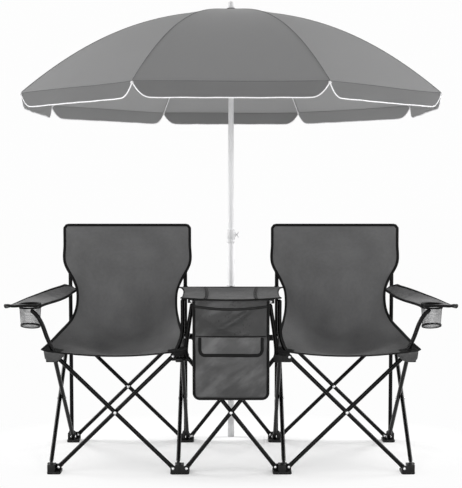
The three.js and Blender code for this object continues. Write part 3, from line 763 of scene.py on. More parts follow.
@dataclass(frozen=True)
class BrightMetal(Finish):
    """Nickelled rivet heads with fine scratches."""

    def material(self) -> bpy.types.Material:
        """Scratches are noise drawn out along one axis.

        Returns:
            The material.
        """
        g = self.graph()
        x, y, z = g.parts(g.place())
        scratch = g.noise(g.joined(x * 6, y, z * 2), 0.0016, 4)
        return g.finish(
            Base_Color=g.tint(self.colour, 0.85 + scratch * 0.3),
            Metallic=0.6,
            Roughness=0.2 + scratch * 0.2,
            Normal=g.bump(scratch, 0.00004, 0.5),
        )


@dataclass(frozen=True)
class PaleFloor(Finish):
    """A floor that is lit near the object and glows by itself far from it, so that no horizon shows."""

    glow: float = 0.14
    middle: float = -0.15
    squeeze: float = 3.6
    white: float = 0.982

    def material(self) -> bpy.types.Material:
        """The distance from the object counts more to the front and the rear than to the sides.

        Returns:
            The material.
        """
        g = self.graph()
        x, y, _ = g.parts(g.place())
        away = g.maths("SQRT", x * x + (y - self.middle) * (y - self.middle) * self.squeeze)
        far = away.step(0.5, 1.05)
        direct = seen_directly(g)
        return g.finish(
            Base_Color=g.tint(self.colour, 1 - far * direct),
            Roughness=0.9,
            Specular_IOR_Level=0.0,
            Emission_Color=g.tint((1, 1, 1), self.glow + far * (self.white - self.glow)),
            Emission_Strength=direct,
        )


# The seat cloth is darker from the foot of the back over the seat: painted shade.
SEAT_CLOTH = WovenCloth(
    "seat_cloth", grey(99), "seat_fabric", mottle=0.42, broad=0.4, painted_shade_at=0.36, painted_shade=0.62, painted_shade_width=0.26
)
PAD_CLOTH = WovenCloth("pad_cloth", grey(96), "seat_fabric", mottle=0.42, broad=0.4)
# The table cloth's slanting streaks are a painted sheen.
TABLE_CLOTH = WovenCloth(
    "table_cloth_finish",
    grey(68),
    "seat_fabric",
    mottle=0.85,
    sheen=0.04,
    stitch_at=0.012,
    broad=0.6,
    painted_sheen=0.35,
)
# The slanting streaks of the bag's cloths are a painted sheen on their creases.
COOLER_CLOTH = WovenCloth(
    "cooler_cloth", grey(38), "cooler_fabric", 0.0007, 0.6, 0.3, sheen=0.0, broad=0.9, painted_sheen=2.2
)
FLAP_CLOTH = WovenCloth(
    "flap_cloth", grey(69), "cooler_fabric", 0.0007, 0.4, 0.34, sheen=0.0, broad=0.9, painted_sheen=0.8
)
POCKET_CLOTH = WovenCloth(
    "pocket_cloth", grey(64), "cooler_fabric", 0.0007, 0.5, 0.34, sheen=0.0, broad=0.7, painted_sheen=0.9
)
# The canopy cloth is darker on the valance, past the eave: painted shade.
CANOPY_CLOTH = WovenCloth(
    "canopy_weave",
    grey(135),
    "canopy_fabric",
    0.0006,
    0.09,
    0.8,
    stitch_at=0.005,
    through=0.33,
    painted_shade_at=0.829,
    painted_shade=0.36,
)
BLACK_TAPE = Tape("black_tape", grey(15), "seat_fabric")
WHITE_TAPE = Tape("white_tape", grey(240), "canopy_fabric")
DARK_THREAD = Tape("dark_thread", grey(116), "canopy_fabric")
BLACK_ENAMEL = Enamel("black_tube_enamel", grey(8), "black_enamel")
# Its negative amount near the floor darkens the mast's lower end: painted shade.
WHITE_ENAMEL = Enamel(
    "white_mast_enamel", grey(230), "white_enamel", 0.5, 0.2, wear=-0.03, dust_and_shade=-0.7, dust_and_shade_top=0.48
)
BLACK_PLASTIC = MouldedPlastic("black_moulding", grey(14), "black_plastic", level=0.2)
WHITE_PLASTIC = MouldedPlastic("white_moulding", grey(222), "white_plastic", level=0.25, rub=-0.03)
CUP_NET = KnittedNet("cup_net", grey(165), "cup_mesh")
RIVET_METAL = BrightMetal("rivet_metal", grey(222), "white_plastic")
FLOOR = PaleFloor("floor_finish", (0.86, 0.86, 0.86), "")


# Pieces


@functools.cache
def material_of(finish: Finish) -> bpy.types.Material:
    """The material of a finish, made once."""
    return finish.material()


def add_piece(name: str, skin: Skin, finish: Finish, sharp: float = 38.0) -> bpy.types.Object:
    """Makes an object of a skin.

    Args:
        name: Its name.
        skin: Its surface.
        finish: Its finish.
        sharp: Edges that turn more than this many degrees stay crisp.

    Returns:
        The new object, with its faces pointing outwards.
    """
    mesh = bpy.data.meshes.new(name)
    faces = list(itertools.chain.from_iterable(block.tolist() for block in skin.faces))
    mesh.from_pydata(skin.points.tolist(), [], faces)
    if skin.cloth is not None:
        mesh.attributes.new("cloth", "FLOAT_VECTOR", "POINT").data.foreach_set("vector", skin.cloth.ravel())
    whole = bmesh.new()
    whole.from_mesh(mesh)
    bmesh.ops.recalc_face_normals(whole, faces=whole.faces)
    whole.to_mesh(mesh)
    whole.free()
    mesh.shade_smooth()
    mesh.set_sharp_from_angle(angle=math.radians(sharp))
    mesh.materials.append(material_of(finish))
    piece = bpy.data.objects.new(name, mesh)
    bpy.context.scene.collection.objects.link(piece)
    return piece


def go_with(
    name: str,
    skin: Skin,
    finish: Finish,
    node: str,
    sharp: float = 38.0,
    cutters: Sequence[Skin] = (),
) -> bpy.types.Object:
    """Makes a piece that rides on a CAD node's body.

    Args:
        name: Its name.
        skin: Its surface.
        finish: Its finish.
        node: The CAD node whose body carries it.
        sharp: Edges that turn more than this many degrees stay crisp.
        cutters: Closed bodies that are taken out of it.

    Returns:
        The new piece.
    """
    piece = add_piece(name, skin, finish, sharp)
    for cutter in cutters:
        cut(piece, cutter)
    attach(piece, frame["nodes"][node]["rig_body"])
    LOG.info("%s rides with %s: %d faces", name, node, len(piece.data.polygons))
    return piece


def stand_for(
    name: str, skin: Skin, finish: Finish, node: str, sharp: float = 38.0, cutters: Sequence[Skin] = ()
) -> bpy.types.Object:
    """Makes a piece that stands for a CAD node.

    Args:
        name: Its name.
        skin: Its surface.
        finish: Its finish.
        node: The CAD node whose place it takes.
        sharp: Edges that turn more than this many degrees stay crisp.
        cutters: Closed bodies that are taken out of it.

    Returns:
        The new piece.
    """
    piece = go_with(name, skin, finish, node, sharp=sharp, cutters=cutters)
    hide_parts(node)
    return piece


def cut(piece: bpy.types.Object, cutter: Skin) -> None:
    """Takes a closed body out of a piece.

    Args:
        piece: The piece, whose mesh is replaced.
        cutter: The closed body.
    """
    tool = add_piece("cutting_tool", cutter, BLACK_PLASTIC)
    modifier = piece.modifiers.new("cut", "BOOLEAN")
    modifier.object, modifier.operation, modifier.solver = tool, "DIFFERENCE", "EXACT"
    view = bpy.context.evaluated_depsgraph_get()
    view.update()
    mesh = bpy.data.meshes.new_from_object(piece.evaluated_get(view))
    piece.modifiers.clear()
    old, piece.data = piece.data, mesh
    bpy.data.meshes.remove(old)
    bpy.data.objects.remove(tool)


# The frame's plan

# Where the columns of feet stand in x, and the two rows in y.
COLUMNS = {"outer_left": -0.590, "inner_left": -0.168, "inner_right": 0.168, "outer_right": 0.590}
ROWS = {"front": -0.485, "rear": -0.055}
# The tubes' radius, and how far from their middle two crossing tubes lie.
TUBE = 0.007
LANE = 0.00715
# How far a rivet lies from its column in x, or from its row in y.
PIN = 0.022
SIDE_PIN = 0.026
# The lower rivets' height, how far above them the upper ones lie, and the play beside a tube.
PIN_HEIGHT = 0.020
RISE = 0.368
PLAY = 0.0003
# Where the slings' backs hang in y, and how far from the middle a chair's middle lies in x.
SLEEVE_Y = -0.066
CHAIR_MIDDLE = 0.379


def folds(node: str, *pieces: bpy.types.Object) -> None:
    """Gives each soft piece its own copy of its mesh."""
    for piece in pieces:
        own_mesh(piece)


class Way(Enum):
    """Which way a scissor's tube climbs, seen from the front or from the outside."""

    RISING = "rising"
    FALLING = "falling"


@dataclass(frozen=True)
class Scissor:
    """The two columns that a scissor joins, and which of its tubes lies in the front lane."""

    left: str
    right: str
    front: Way

    def side(self, way: Way) -> int:
        """-1 for the tube in the front lane, and 1 for the other."""
        return -1 if way is self.front else 1

    def rivets(self, row: str, way: Way) -> np.ndarray:
        """The middles of a tube's lower and upper rivet.

        Args:
            row: The front or the rear row.
            way: Which of the two tubes.

        Returns:
            The two points.
        """
        left, right = COLUMNS[self.left] + PIN, COLUMNS[self.right] - PIN
        foot, head = (left, right) if way is Way.RISING else (right, left)
        y = ROWS[row] + self.side(way) * LANE
        return np.array([[foot, y, PIN_HEIGHT], [head, y, PIN_HEIGHT + RISE]])


PLAN = {
    "left_chair": Scissor("outer_left", "inner_left", Way.FALLING),
    "table": Scissor("inner_left", "inner_right", Way.RISING),
    "right_chair": Scissor("inner_right", "outer_right", Way.FALLING),
}


def side_lane(column: str, way: Way) -> int:
    """-1 for the tube in the left lane of a side scissor, and 1 for the other."""
    left = Way.FALLING if COLUMNS[column] < 0 else Way.RISING
    return -1 if way is left else 1


@dataclass(frozen=True)
class RunOn:
    """A front tube's bent end above its upper rivet.

    It passes shares of a distance inwards, which is negative where it leans outwards, and of the way up to a
    height. Its round end may reach over the last point.
    """

    shares: tuple[tuple[float, float], ...]
    across: float
    height: float
    over: float = 0.0

    def points(self, foot: np.ndarray, head: np.ndarray) -> np.ndarray:
        """The points that it passes, for a tube with these two rivets.

        Args:
            foot: The lower rivet.
            head: The upper rivet.

        Returns:
            The points, in the order of the shares.
        """
        across, up = np.asarray(self.shares).T
        x = head[0] + np.sign(foot[0] - head[0]) * (across * self.across)
        z = PIN_HEIGHT + lerp(RISE, self.height - PIN_HEIGHT, up)
        return np.stack([x, np.full(len(x), head[1]), z], -1)


CUP_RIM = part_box("cup_holder_left")[1].z
BAG_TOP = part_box("cooler_bag")[1].z
CAP_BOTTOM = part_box("table_cap_left")[0].z
ARM_END = RunOn(
    ((0.18, 0.17), (0.395, 0.42), (0.585, 0.7), (0.8, 0.9), (1, 1)),
    across=-PIN - 0.057,
    height=CUP_RIM - 0.006,
    over=0.0055,
)
POST_END = RunOn(((0.34, 0.1), (0.87, 0.33), (1, 0.56), (1, 1)), -PIN - 0.010, 0.576)
CAP_END = RunOn(
    ((-0.06, 0.15), (0.18, 0.38), (0.61, 0.69), (0.975, 0.93), (1, 1)),
    across=0.040 - PIN,
    height=CAP_BOTTOM - 0.0009,
)
RUN_ONS = {
    ("left_chair", Way.FALLING): ARM_END,
    ("left_chair", Way.RISING): POST_END,
    ("table", Way.FALLING): CAP_END,
    ("table", Way.RISING): CAP_END,
    ("right_chair", Way.FALLING): POST_END,
    ("right_chair", Way.RISING): ARM_END,
}


def bent_end(name: str, way: Way, leads: Sequence[float]) -> np.ndarray:
    """The smooth line of a front tube's bent end.

    Args:
        name: The scissor's name.
        way: Which of its tubes.
        leads: How far below the upper rivet its first points lie, the last of which is the rivet itself.

    Returns:
        Points of the line.
    """
    foot, head = PLAN[name].rivets("front", way)
    lead = head - unit(head - foot) * np.array(leads)[:, None]
    return smooth_path(np.vstack([lead, RUN_ONS[name, way].points(foot, head)]))


def tube(points: np.ndarray, pins: Sequence[int], up: Sequence[float], over: float = TUBE) -> Skin:
    """A steel tube, pressed flat round its rivets and with rounded ends.

    Its half thickness falls from the radius to 5/7 of it near a pin, while its half width grows a little.

    Args:
        points: Its middle line.
        pins: Which of the points are rivets.
        up: The rivets' direction.
        over: How far it runs past its last point. It always runs a radius past its first.

    Returns:
        The tube's skin.
    """
    steps = np.linalg.norm(np.diff(points, axis=0), axis=1)
    run = np.concatenate([[0], np.cumsum(steps)])
    ends = -TUBE, run[-1] + over
    cap = TUBE * (1 - np.cos(np.linspace(0.15, math.pi / 2, 6)))
    near = [np.linspace(run[i] - 0.024, run[i] + 0.024, 17) for i in pins]
    places = np.concatenate([ends[0] + cap, ends[1] - cap, np.arange(0, run[-1], 0.012), *near])
    places = np.unique(np.round(places[(places > ends[0]) & (places < ends[1])], 6))
    places = places[np.concatenate([[True], np.diff(places) > 0.0002])]
    line = np.stack([np.interp(places, run, points[:, i]) for i in range(3)], -1)
    before, after = np.minimum(places, 0), np.maximum(places - run[-1], 0)
    line += before[:, None] * unit(points[1] - points[0]) + after[:, None] * unit(points[-1] - points[-2])
    from_end = np.minimum(places - ends[0], ends[1] - places) / TUBE
    cap_share = np.sqrt(1 - np.clip(1 - from_end, 0, 1) ** 2)
    away = np.min([np.abs(places - run[i]) for i in pins], axis=0)
    round_share = smoothstep(away, 0.009, 0.022)
    wide = TUBE * lerp(1.1, 1, round_share) * cap_share
    high = TUBE * lerp(5 / 7, 1, round_share) * lerp(cap_share, 1, 1 - round_share)
    return sweep(line, wide, high, up)


def rivet(
    middle: Sequence[float], axis: Sequence[float], low: float, high: float, radius: float = 0.0052
) -> Skin:
    """A rivet.

    Args:
        middle: A point on its axis.
        axis: Its direction.
        low: Where its first domed head starts, counted from the middle.
        high: Where its other head starts.
        radius: The heads' radius.

    Returns:
        Its skin.
    """
    dome = np.array([[0.1, 1.0], [0.45, 0.92], [0.78, 0.66], [0.96, 0.28], [1.0, 0.0]]) * [radius, 0.0026]
    first = np.stack([dome[:, 0], low - dome[:, 1]], -1)
    last = np.stack([dome[::-1, 0], high + dome[::-1, 1]], -1)
    return turned(np.vstack([first, [[0.0025, low], [0.0025, high]], last]), middle, axis, 20)


@dataclass(frozen=True)
class Pin:
    """A tube's place at a foot, bracket or slider: along which axis and to which side the tube leaves, in
    which lane it lies, and whether it is riveted."""

    along: str
    toward: int
    side: int
    riveted: bool = True

    def at(self, run: float, lane: float, height: float) -> tuple[float, float, float]:
        """A point so far from the column's middle towards the tube, at that place across the lanes."""
        return (self.toward * run, lane, height) if self.along == "x" else (lane, self.toward * run, height)


def pins_at(column: str, row: str, level: str) -> list[Pin]:
    """The pins at a column's end.

    Args:
        column: The column.
        row: Its row.
        level: Its lower or upper end.

    Returns:
        Those of the front or rear scissors, and then the side scissor's one.
    """
    pins = []
    for name, plan in PLAN.items():
        if column not in (plan.left, plan.right):
            continue
        at_left = plan.left == column
        way = Way.RISING if at_left == (level == "lower") else Way.FALLING
        riveted = not (name == "table" and level == "upper")
        pins.append(Pin("x", 1 if at_left else -1, plan.side(way), riveted))
    way = Way.RISING if (row == "rear") == (level == "lower") else Way.FALLING
    pins.append(Pin("y", -1 if row == "rear" else 1, side_lane(column, way)))
    return pins


@dataclass
class Steelwork:
    """The tubes, posts, feet, brackets and sliders of the frame."""

    core: tuple[float, float] = (0.0128, 0.0155)
    lug: float = 0.004
    margin: float = 0.0085
    web: float = 0.003
    flat: float = 0.005
    lane_inside: float = LANE - 0.0053
    sole_edge: float = 0.0008
    sole_height: float = 0.009
    small_head: float = 0.0046
    crossing: float = LANE + TUBE + PLAY
    strap_share: float = 0.68
    strap_lean: float = 0.8
    post_top: float = 0.7936

    def build(self) -> None:
        """Makes every piece of the frame."""
        for name, plan in PLAN.items():
            for row in ROWS:
                self.scissor(name, plan, row)
        for column, x in COLUMNS.items():
            self.side_scissor(column, x)
            self.post(column, x)
            for row in ROWS:
                self.hub(column, row, "lower")
                self.hub(column, row, "upper")

    def scissor(self, name: str, plan: Scissor, row: str) -> None:
        """Makes the two crossed tubes of a front or rear scissor, and their rivet.

        Args:
            name: The scissor's name.
            plan: Its columns and lanes.
            row: The front or the rear row.
        """
        across = (0, 1, 0)
        for way in Way:
            ends = plan.rivets(row, way)
            if row == "front":
                leads = (0.042, 0.021, 0.0)
                line = np.vstack([ends[:1], bent_end(name, way, leads)])
                # The line's first point is the lower rivet, and the leads' last one is the upper rivet.
                upper = 1 + (len(leads) - 1) * STEPS
                skin = tube(line, [0, upper], across, RUN_ONS[name, way].over)
            else:
                skin = tube(ends, [0, 1], across)
            node = f"{row}_{name}_{way.value}_tube"
            stand_for(f"tube_{row}_{name}_{way.value}", skin, BLACK_ENAMEL, node)
            if way is Way.RISING:
                middle = (ends[0] + ends[1]) / 2
                middle[1] = ROWS[row]
                head = rivet(middle, across, -self.crossing, self.crossing)
                go_with(f"crossing_rivet_{row}_{name}", head, RIVET_METAL, node)

    def side_scissor(self, column: str, x: float) -> None:
        """Makes the two crossed tubes between a column's front and rear feet, and their rivets.

        Args:
            column: The column's name.
            x: Where it stands.
        """
        rear, front = ROWS["rear"] - SIDE_PIN, ROWS["front"] + SIDE_PIN
        across = (1, 0, 0)
        runs = ((Way.RISING, "forward", rear, front), (Way.FALLING, "backward", front, rear))
        for way, name, foot, head in runs:
            lane = x + side_lane(column, way) * LANE
            ends = np.array([[lane, foot, PIN_HEIGHT], [lane, head, PIN_HEIGHT + RISE]])
            node = f"side_{name}_tube_{column}"
            stand_for(f"tube_side_{name}_{column}", tube(ends, [0, 1], across), BLACK_ENAMEL, node)
            if way is Way.RISING:
                middle = [x, (rear + front) / 2, PIN_HEIGHT + RISE / 2]
                skin = rivet(middle, across, -self.crossing, self.crossing)
                go_with(f"crossing_rivet_side_{column}", skin, RIVET_METAL, node)
                spot = ends[0] + self.strap_share * (ends[1] - ends[0])
                lean = (0, -math.cos(self.strap_lean), math.sin(self.strap_lean))
                skin = rivet(spot, lean, -TUBE, TUBE, self.small_head)
                go_with(f"strap_rivet_{column}", skin, RIVET_METAL, node)

    def post(self, column: str, x: float) -> None:
        """Makes a back post with a plug in its top.

        Args:
            column: The column's name.
            x: Where it stands.
        """
        node, place = f"back_post_{column}", (x, ROWS["rear"], 0)
        profile = [[TUBE * 0.96, 0.0094], [TUBE, 0.012], [TUBE, self.post_top]]
        stand_for(f"post_{column}", turned(profile, place, UP, 20), BLACK_ENAMEL, node)
        wide = TUBE + 0.0012
        plug = [[TUBE + 0.0008, 0.782], [wide, 0.784], [wide, 0.794], [0.0065, 0.7975], [0.003, 0.7985]]
        go_with(f"post_plug_{column}", turned(plug, place, UP, 20), BLACK_PLASTIC, node)

    def hub(self, column: str, row: str, level: str) -> None:
        """Makes a foot, a seat bracket or a slider: a rounded core, a lug for each tube, and the rivets.

        Args:
            column: The column's name.
            row: The front or the rear row.
            level: Its lower or upper end.
        """
        pins = pins_at(column, row, level)
        half_x, half_y = self.core
        if level == "lower":
            node, bottom, top = f"{row}_foot_{column}", -PIN_HEIGHT, 0.011
        elif row == "front":
            node, bottom, top = f"seat_bracket_{column}", -0.017, -0.005
        else:
            node, bottom, top = f"back_slider_{column}", -0.013, 0.013
        skins = [block((-half_x, -half_y, bottom), (half_x, half_y, top), 0.005, 0.0016)]
        heads = []
        for pin in pins:
            face = pin.side * (LANE + (self.flat if pin.riveted else TUBE) + PLAY)
            outer = face + pin.side * self.lug
            inset = PIN if pin.along == "x" else SIDE_PIN
            start = 0.0 if pin.along == "x" else half_y - PLAY
            if pin.along == "y":
                ends = pin.toward * (half_y - 0.003), pin.toward * (half_y + self.web)
                skins.append(block((-half_x, ends[0], bottom), (half_x, ends[1], top), 0.002, 0.001))
                skins.append(block((0, ends[0], bottom), (outer, ends[1], top), 0.002, 0.001))
            low, high = pin.at(start, face, bottom), pin.at(inset + self.margin, outer, self.margin)
            skins.append(block(low, high, 0.006, 0.0011, 1 if pin.along == "x" else 0))
            if pin.riveted:
                inner = pin.side * self.lane_inside
                spot, axis = pin.at(inset, 0, 0), pin.at(0, 1, 0)
                heads.append(rivet(spot, axis, *sorted((outer, inner)), self.small_head))
        if level == "lower":
            skins.append(self.sole(pins, row))
        origin = [COLUMNS[column], ROWS[row], PIN_HEIGHT + (RISE if level == "upper" else 0)]
        stand_for(f"moulding_{node}", together(skins).moved(origin), BLACK_PLASTIC, node)
        if heads:
            go_with(f"rivets_{node}", together(heads).moved(origin), RIVET_METAL, node)

    def sole(self, pins: list[Pin], row: str) -> Skin:
        """The flared sole of a foot, with a knob on a front one and a socket collar on a rear one.

        Args:
            pins: The foot's pins.
            row: Its row.

        Returns:
            The skin, counted from the rivets' height.
        """
        half_x, half_y = self.core
        reached = {pin.toward for pin in pins if pin.along == "x"}
        left, right = (PIN + self.margin if side in reached else half_x for side in (-1, 1))
        forward, backward = half_y, SIDE_PIN + self.margin
        if row == "rear":
            forward, backward = backward, forward
        low = (-left - self.sole_edge, -forward - self.sole_edge, -PIN_HEIGHT)
        high = (right + self.sole_edge, backward + self.sole_edge, -PIN_HEIGHT + self.sole_height)
        skin = block(low, high, 0.007, 0.0018)
        if row == "front":
            knob = [[0.0056, 0.009], [0.0056, 0.0125], [0.0048, 0.0148], [0.0028, 0.016], [0.0004, 0.0162]]
            return skin + turned(knob, (0, 0, 0), UP, 20)
        inner = TUBE + 0.0002
        collar = [[inner, 0.009], [0.0115, 0.009], [0.0112, 0.0142], [0.0102, 0.0152], [inner, 0.0152]]
        return skin + hollow(collar, (0, 0, 0), UP, 24)


# Cloth


def sling_rows() -> np.ndarray:
    """Rows of a sling from the back's top to the seat's front: half width, edge y and z, middle y and z.

    Returns:
        Ten rows of five numbers.
    """
    # For each row of the back, shares of the width, the edge's height, the middle's height and its bulge.
    back = np.array([[1, 1, 1, 0.2], [1, 0.72, 0.72, 0.8], [1, 0.44, 0.42, 1], [0.3, 0.17, 0.12, 0.9]])
    # For each row of the seat, shares of the width, and of the edge's and the middle's y and height.
    seat = np.array(
        [
            [0, 0.964, 1, 1.014, 0.5],
            [0, 0.9, 0.62, 0.95, 0],
            [0.19, 0.76, 0.36, 0.8, -0.63],
            [0.5, 0.48, 0.2, 0.52, -1],
            [0.75, 0.2, 0.08, 0.22, -0.6],
        ]
    )
    rows = np.empty((10, 5))
    rows[:4, 0] = lerp(0.181, 0.2285, back[:, 0])
    rows[:4, 1] = SLEEVE_Y
    rows[:4, 2] = lerp(0.553, 0.800, back[:, 1])
    rows[:4, 3] = SLEEVE_Y + 0.016 * back[:, 3]
    rows[:4, 4] = lerp(0.553, 0.800, back[:, 2])
    rows[4:9, 0] = lerp(0.181, 0.235, seat[:, 0])
    for run, height in ((1, 2), (3, 4)):
        rows[4:9, run] = lerp(-0.512, SLEEVE_Y, seat[:, run])
        rows[4:9, height] = 0.410 + seat[:, height] * np.where(seat[:, height] < 0, 0.054, 0.143)
    rows[9] = [0.235, -0.512, 0.410, -0.512, 0.390]
    return rows


def sling_grid(middle: float, downs: np.ndarray, acrosses: np.ndarray, depth: float = 0.0) -> np.ndarray:
    """Points of a sling.

    The edges follow the rows' edge points. Between them the cloth leaves the straight line by 1 - u squared,
    where u runs from -1 to 1, and soft creases lift it by a millimetre or two.

    Args:
        middle: Where its middle line lies, in x.
        downs: Shares of the way from the back's top to the seat's front.
        acrosses: Shares of the way from the left edge to the right one.
        depth: Distance in front of the cloth's rear face.

    Returns:
        Points as rows, columns and coordinate.
    """
    down, across = np.meshgrid(downs, acrosses, indexing="ij")
    u = 2 * across - 1
    # How much of a round corner is cut away there, and where its edge is therefore read.
    corner = 1 - np.sqrt(1 - np.clip((np.abs(u) - 0.93) / 0.07, 0, 0.995) ** 2)
    shifted = down + 0.028 * corner * np.clip(1 - down / 0.1, 0, 1)
    shifted = shifted - 0.014 * corner * np.clip((down - 0.93) / 0.07, 0, 1)
    table = sling_rows()
    read = rows_curve(table, shifted * (len(table) - 1))
    ahead = rows_curve(table, np.clip(shifted + 0.001, 0, 1) * (len(table) - 1))
    behind = rows_curve(table, np.clip(shifted - 0.001, 0, 1) * (len(table) - 1))
    belly = 1 - u**2
    normal_y, normal_z = ahead[..., 4] - behind[..., 4], behind[..., 3] - ahead[..., 3]
    size = np.maximum(np.hypot(normal_y, normal_z), 1e-9)
    loose = smoothstep(down, 0.25, 0.5) * (1 - smoothstep(down, 0.62, 0.9)) * (1 - u**4)
    crease = np.sin(19 * down + 3.1 * u**2 + 1.7 * middle) * 0.0016 + np.sin(47 * down - 5 * u) * 0.0005
    pull = np.sin(34 * u + 9 * down) * 0.0007 * (1 - belly) * smoothstep(down, 0.1, 0.3)
    lift = depth + (crease * loose + pull) * np.clip((1 - np.abs(u)) / 0.08, 0, 1)
    x = middle + u * read[..., 0]
    y = lerp(read[..., 1], read[..., 3], belly) + normal_y / size * lift
    z = lerp(read[..., 2], read[..., 4], belly) + normal_z / size * lift
    return np.stack([x, y, z], -1)


def pattern(grid: np.ndarray) -> np.ndarray:
    """For each point of a grid, its distance across and along the cloth and to the nearest edge.

    Args:
        grid: Points as rows, columns and coordinate.

    Returns:
        The three numbers of each point, as rows, columns and number.
    """
    across = np.linalg.norm(np.diff(grid, axis=1), axis=2)
    across = np.concatenate([np.zeros((len(grid), 1)), np.cumsum(across, axis=1)], axis=1)
    along = np.linalg.norm(np.diff(grid, axis=0), axis=2)
    along = np.concatenate([np.zeros((1, grid.shape[1])), np.cumsum(along, axis=0)], axis=0)
    edge = np.min([across, across[:, -1:] - across, along, along[-1:] - along], axis=0)
    return np.stack([across - across[:, -1:] / 2, along, edge], -1)


def normals(grid: np.ndarray) -> np.ndarray:
    """The grid's unit normals, from the cross product of its slopes."""
    return unit(np.cross(np.gradient(grid, axis=0), np.gradient(grid, axis=1)))


def faces_away(grid: np.ndarray, viewer: Sequence[float]) -> bool:
    """Whether the normal in the middle of a grid points away from a viewer in that direction."""
    rows, cols = grid.shape[:2]
    return bool(normals(grid)[rows // 2, cols // 2] @ np.asarray(viewer) < 0)


def bound(grid: np.ndarray, wide: float, high: float) -> Skin:
    """Edge tape folded round a grid's whole edge: an oval carried along it, as high as its fold is thick."""
    return sweep(boundary(grid), wide, high, boundary(normals(grid)), 12, loop=True)


def plain_sheet(grid: np.ndarray, thickness: float, viewer: Sequence[float]) -> Skin:
    """A sheet whose seams are its edges, and whose front faces a viewer in that direction."""
    return sheet(grid, thickness, pattern(grid), flip=faces_away(grid, viewer))


@dataclass
class Seat:
    """One chair's sling with its edge tape, corner patches and pockets, and the sleeves on its posts."""

    side: str
    middle: float
    thick: float = 0.0024
    cloth_hole: float = 0.0092
    patch_hole: float = 0.0088
    patch_rows: tuple[float, float] = (0.935, 0.997)
    front: float = 0.4115
    sleeve: tuple[float, float] = (0.7995, 0.633)

    def build(self) -> None:
        """Makes the sling and all that is sewn to it."""
        node = f"chair_sling_{self.side}"
        grid = sling_grid(self.middle, np.linspace(0, 1, 120), np.linspace(0, 1, 64), 0.003)
        skin = plain_sheet(grid, self.thick, (0, -1, 1))
        cloth = stand_for(f"sling_{self.side}", skin, SEAT_CLOTH, node, 60, self.cutters(self.cloth_hole))
        tape = go_with(f"sling_tape_{self.side}", bound(grid, 0.0050, 0.0024), BLACK_TAPE, node)
        pieces = [cloth, tape]
        for spot, side, low, high in (("a", -1, 0.004, 0.125), ("b", 1, 0.875, 0.996)):
            name = f"corner_patch_{self.side}_{spot}"
            rows, columns = np.linspace(*self.patch_rows, 20), np.linspace(low, high, 24)
            area = sling_grid(self.middle, rows, columns, 0.0044)
            skin = sheet(area, 0.0012, pattern(area))
            patch = go_with(name, skin, BLACK_TAPE, node, sharp=60, cutters=self.cutters(self.patch_hole))
            cloth_area(area)
            pieces += [patch, self.pocket(node, spot, side)]
        cloth_area(grid)
        folds(node, *pieces)
        for column in (f"outer_{self.side}", f"inner_{self.side}"):
            self.wrap_post(column)

    def cutters(self, radius: float) -> list[Skin]:
        """Fat copies of the chair's front tubes where they pass through the cloth's corners."""
        lines = [bent_end(f"{self.side}_chair", way, (0.021, 0.0)) for way in Way]
        return [sweep(line, radius, radius, (0, 1, 0), 20) for line in lines]

    def pocket(self, node: str, spot: str, side: int) -> bpy.types.Object:
        """Makes a small pocket that hangs under a front corner and takes the bracket's end.

        Args:
            node: The sling's CAD node.
            spot: The corner's letter.
            side: -1 for the left corner, and 1 for the right one.

        Returns:
            The pocket.
        """
        across, down = np.meshgrid(np.linspace(0, 1, 18), np.linspace(0, 1, 12))
        outer = side == (-1 if self.side == "left" else 1)
        x = self.middle + side * lerp(0.228 - 0.003 * down, 0.160 if outer else 0.188, across)
        sag = 0.020 * (1 - ((x - self.middle) / 0.235) ** 2)
        round_in = 1 - np.sqrt(1 - np.clip((0.16 - across) / 0.16, 0, 0.98) ** 2)
        narrowing = 1 - np.clip((across - 0.42) / 0.58, 0, 1) ** 1.9 * 0.86
        depth = (0.031 if outer else 0.014) * (1 - 0.26 * round_in) * narrowing
        z = self.front - sag - depth * down
        crease = 0.0006 * np.sin(across * 21 + down * 4) * down
        y = -0.5135 + 0.005 * down**2 - 0.003 * np.sin(math.pi * across) * down + crease
        grid = np.stack([x, y, z], -1)
        name, skin = f"corner_pocket_{self.side}_{spot}", sheet(grid, 0.0014, pattern(grid))
        piece = go_with(name, skin, POCKET_CLOTH if outer else BLACK_TAPE, node, 60)
        cloth_area(grid)
        return piece

    def wrap_post(self, column: str) -> None:
        """Makes the sewn tube of cloth that holds the back to its post, gathered at its top.

        Args:
            column: The post's column.
        """
        down, turn = np.meshgrid(np.linspace(0, 1, 40), np.arange(28) / 28 * TURN, indexing="ij")
        height = lerp(*self.sleeve, down)
        ripple = 0.0004 * np.sin(height * 260 + 2 * turn) + 0.0004 * np.sin(height * 90 + turn)
        pinch = np.clip(1 - down * 14, 0, 1) ** 2 * 0.55
        radius = 0.0094 + ripple
        x = COLUMNS[column] + radius * 1.18 * np.cos(turn)
        y = ROWS["rear"] + radius * np.sin(turn) * (1 - pinch)
        grid = np.stack([x, y, height], -1)
        around = turn / TURN * 0.062
        cloth = np.stack([around, down * 0.2, np.minimum(down * 0.2, (1 - down) * 0.2)], -1)
        skin = sheet(grid, 0.0012, cloth, wrap=True)
        piece = go_with(f"sleeve_{column}", skin, SEAT_CLOTH, f"back_post_{column}", sharp=60)
        cloth_area(grid, True)


def bell(value: Any, middle: Any, width: float) -> Any:
    """1 at the middle, and less to both sides: e to the power of minus the squared distance in widths."""
    return np.exp(-(((value - middle) / width) ** 2))


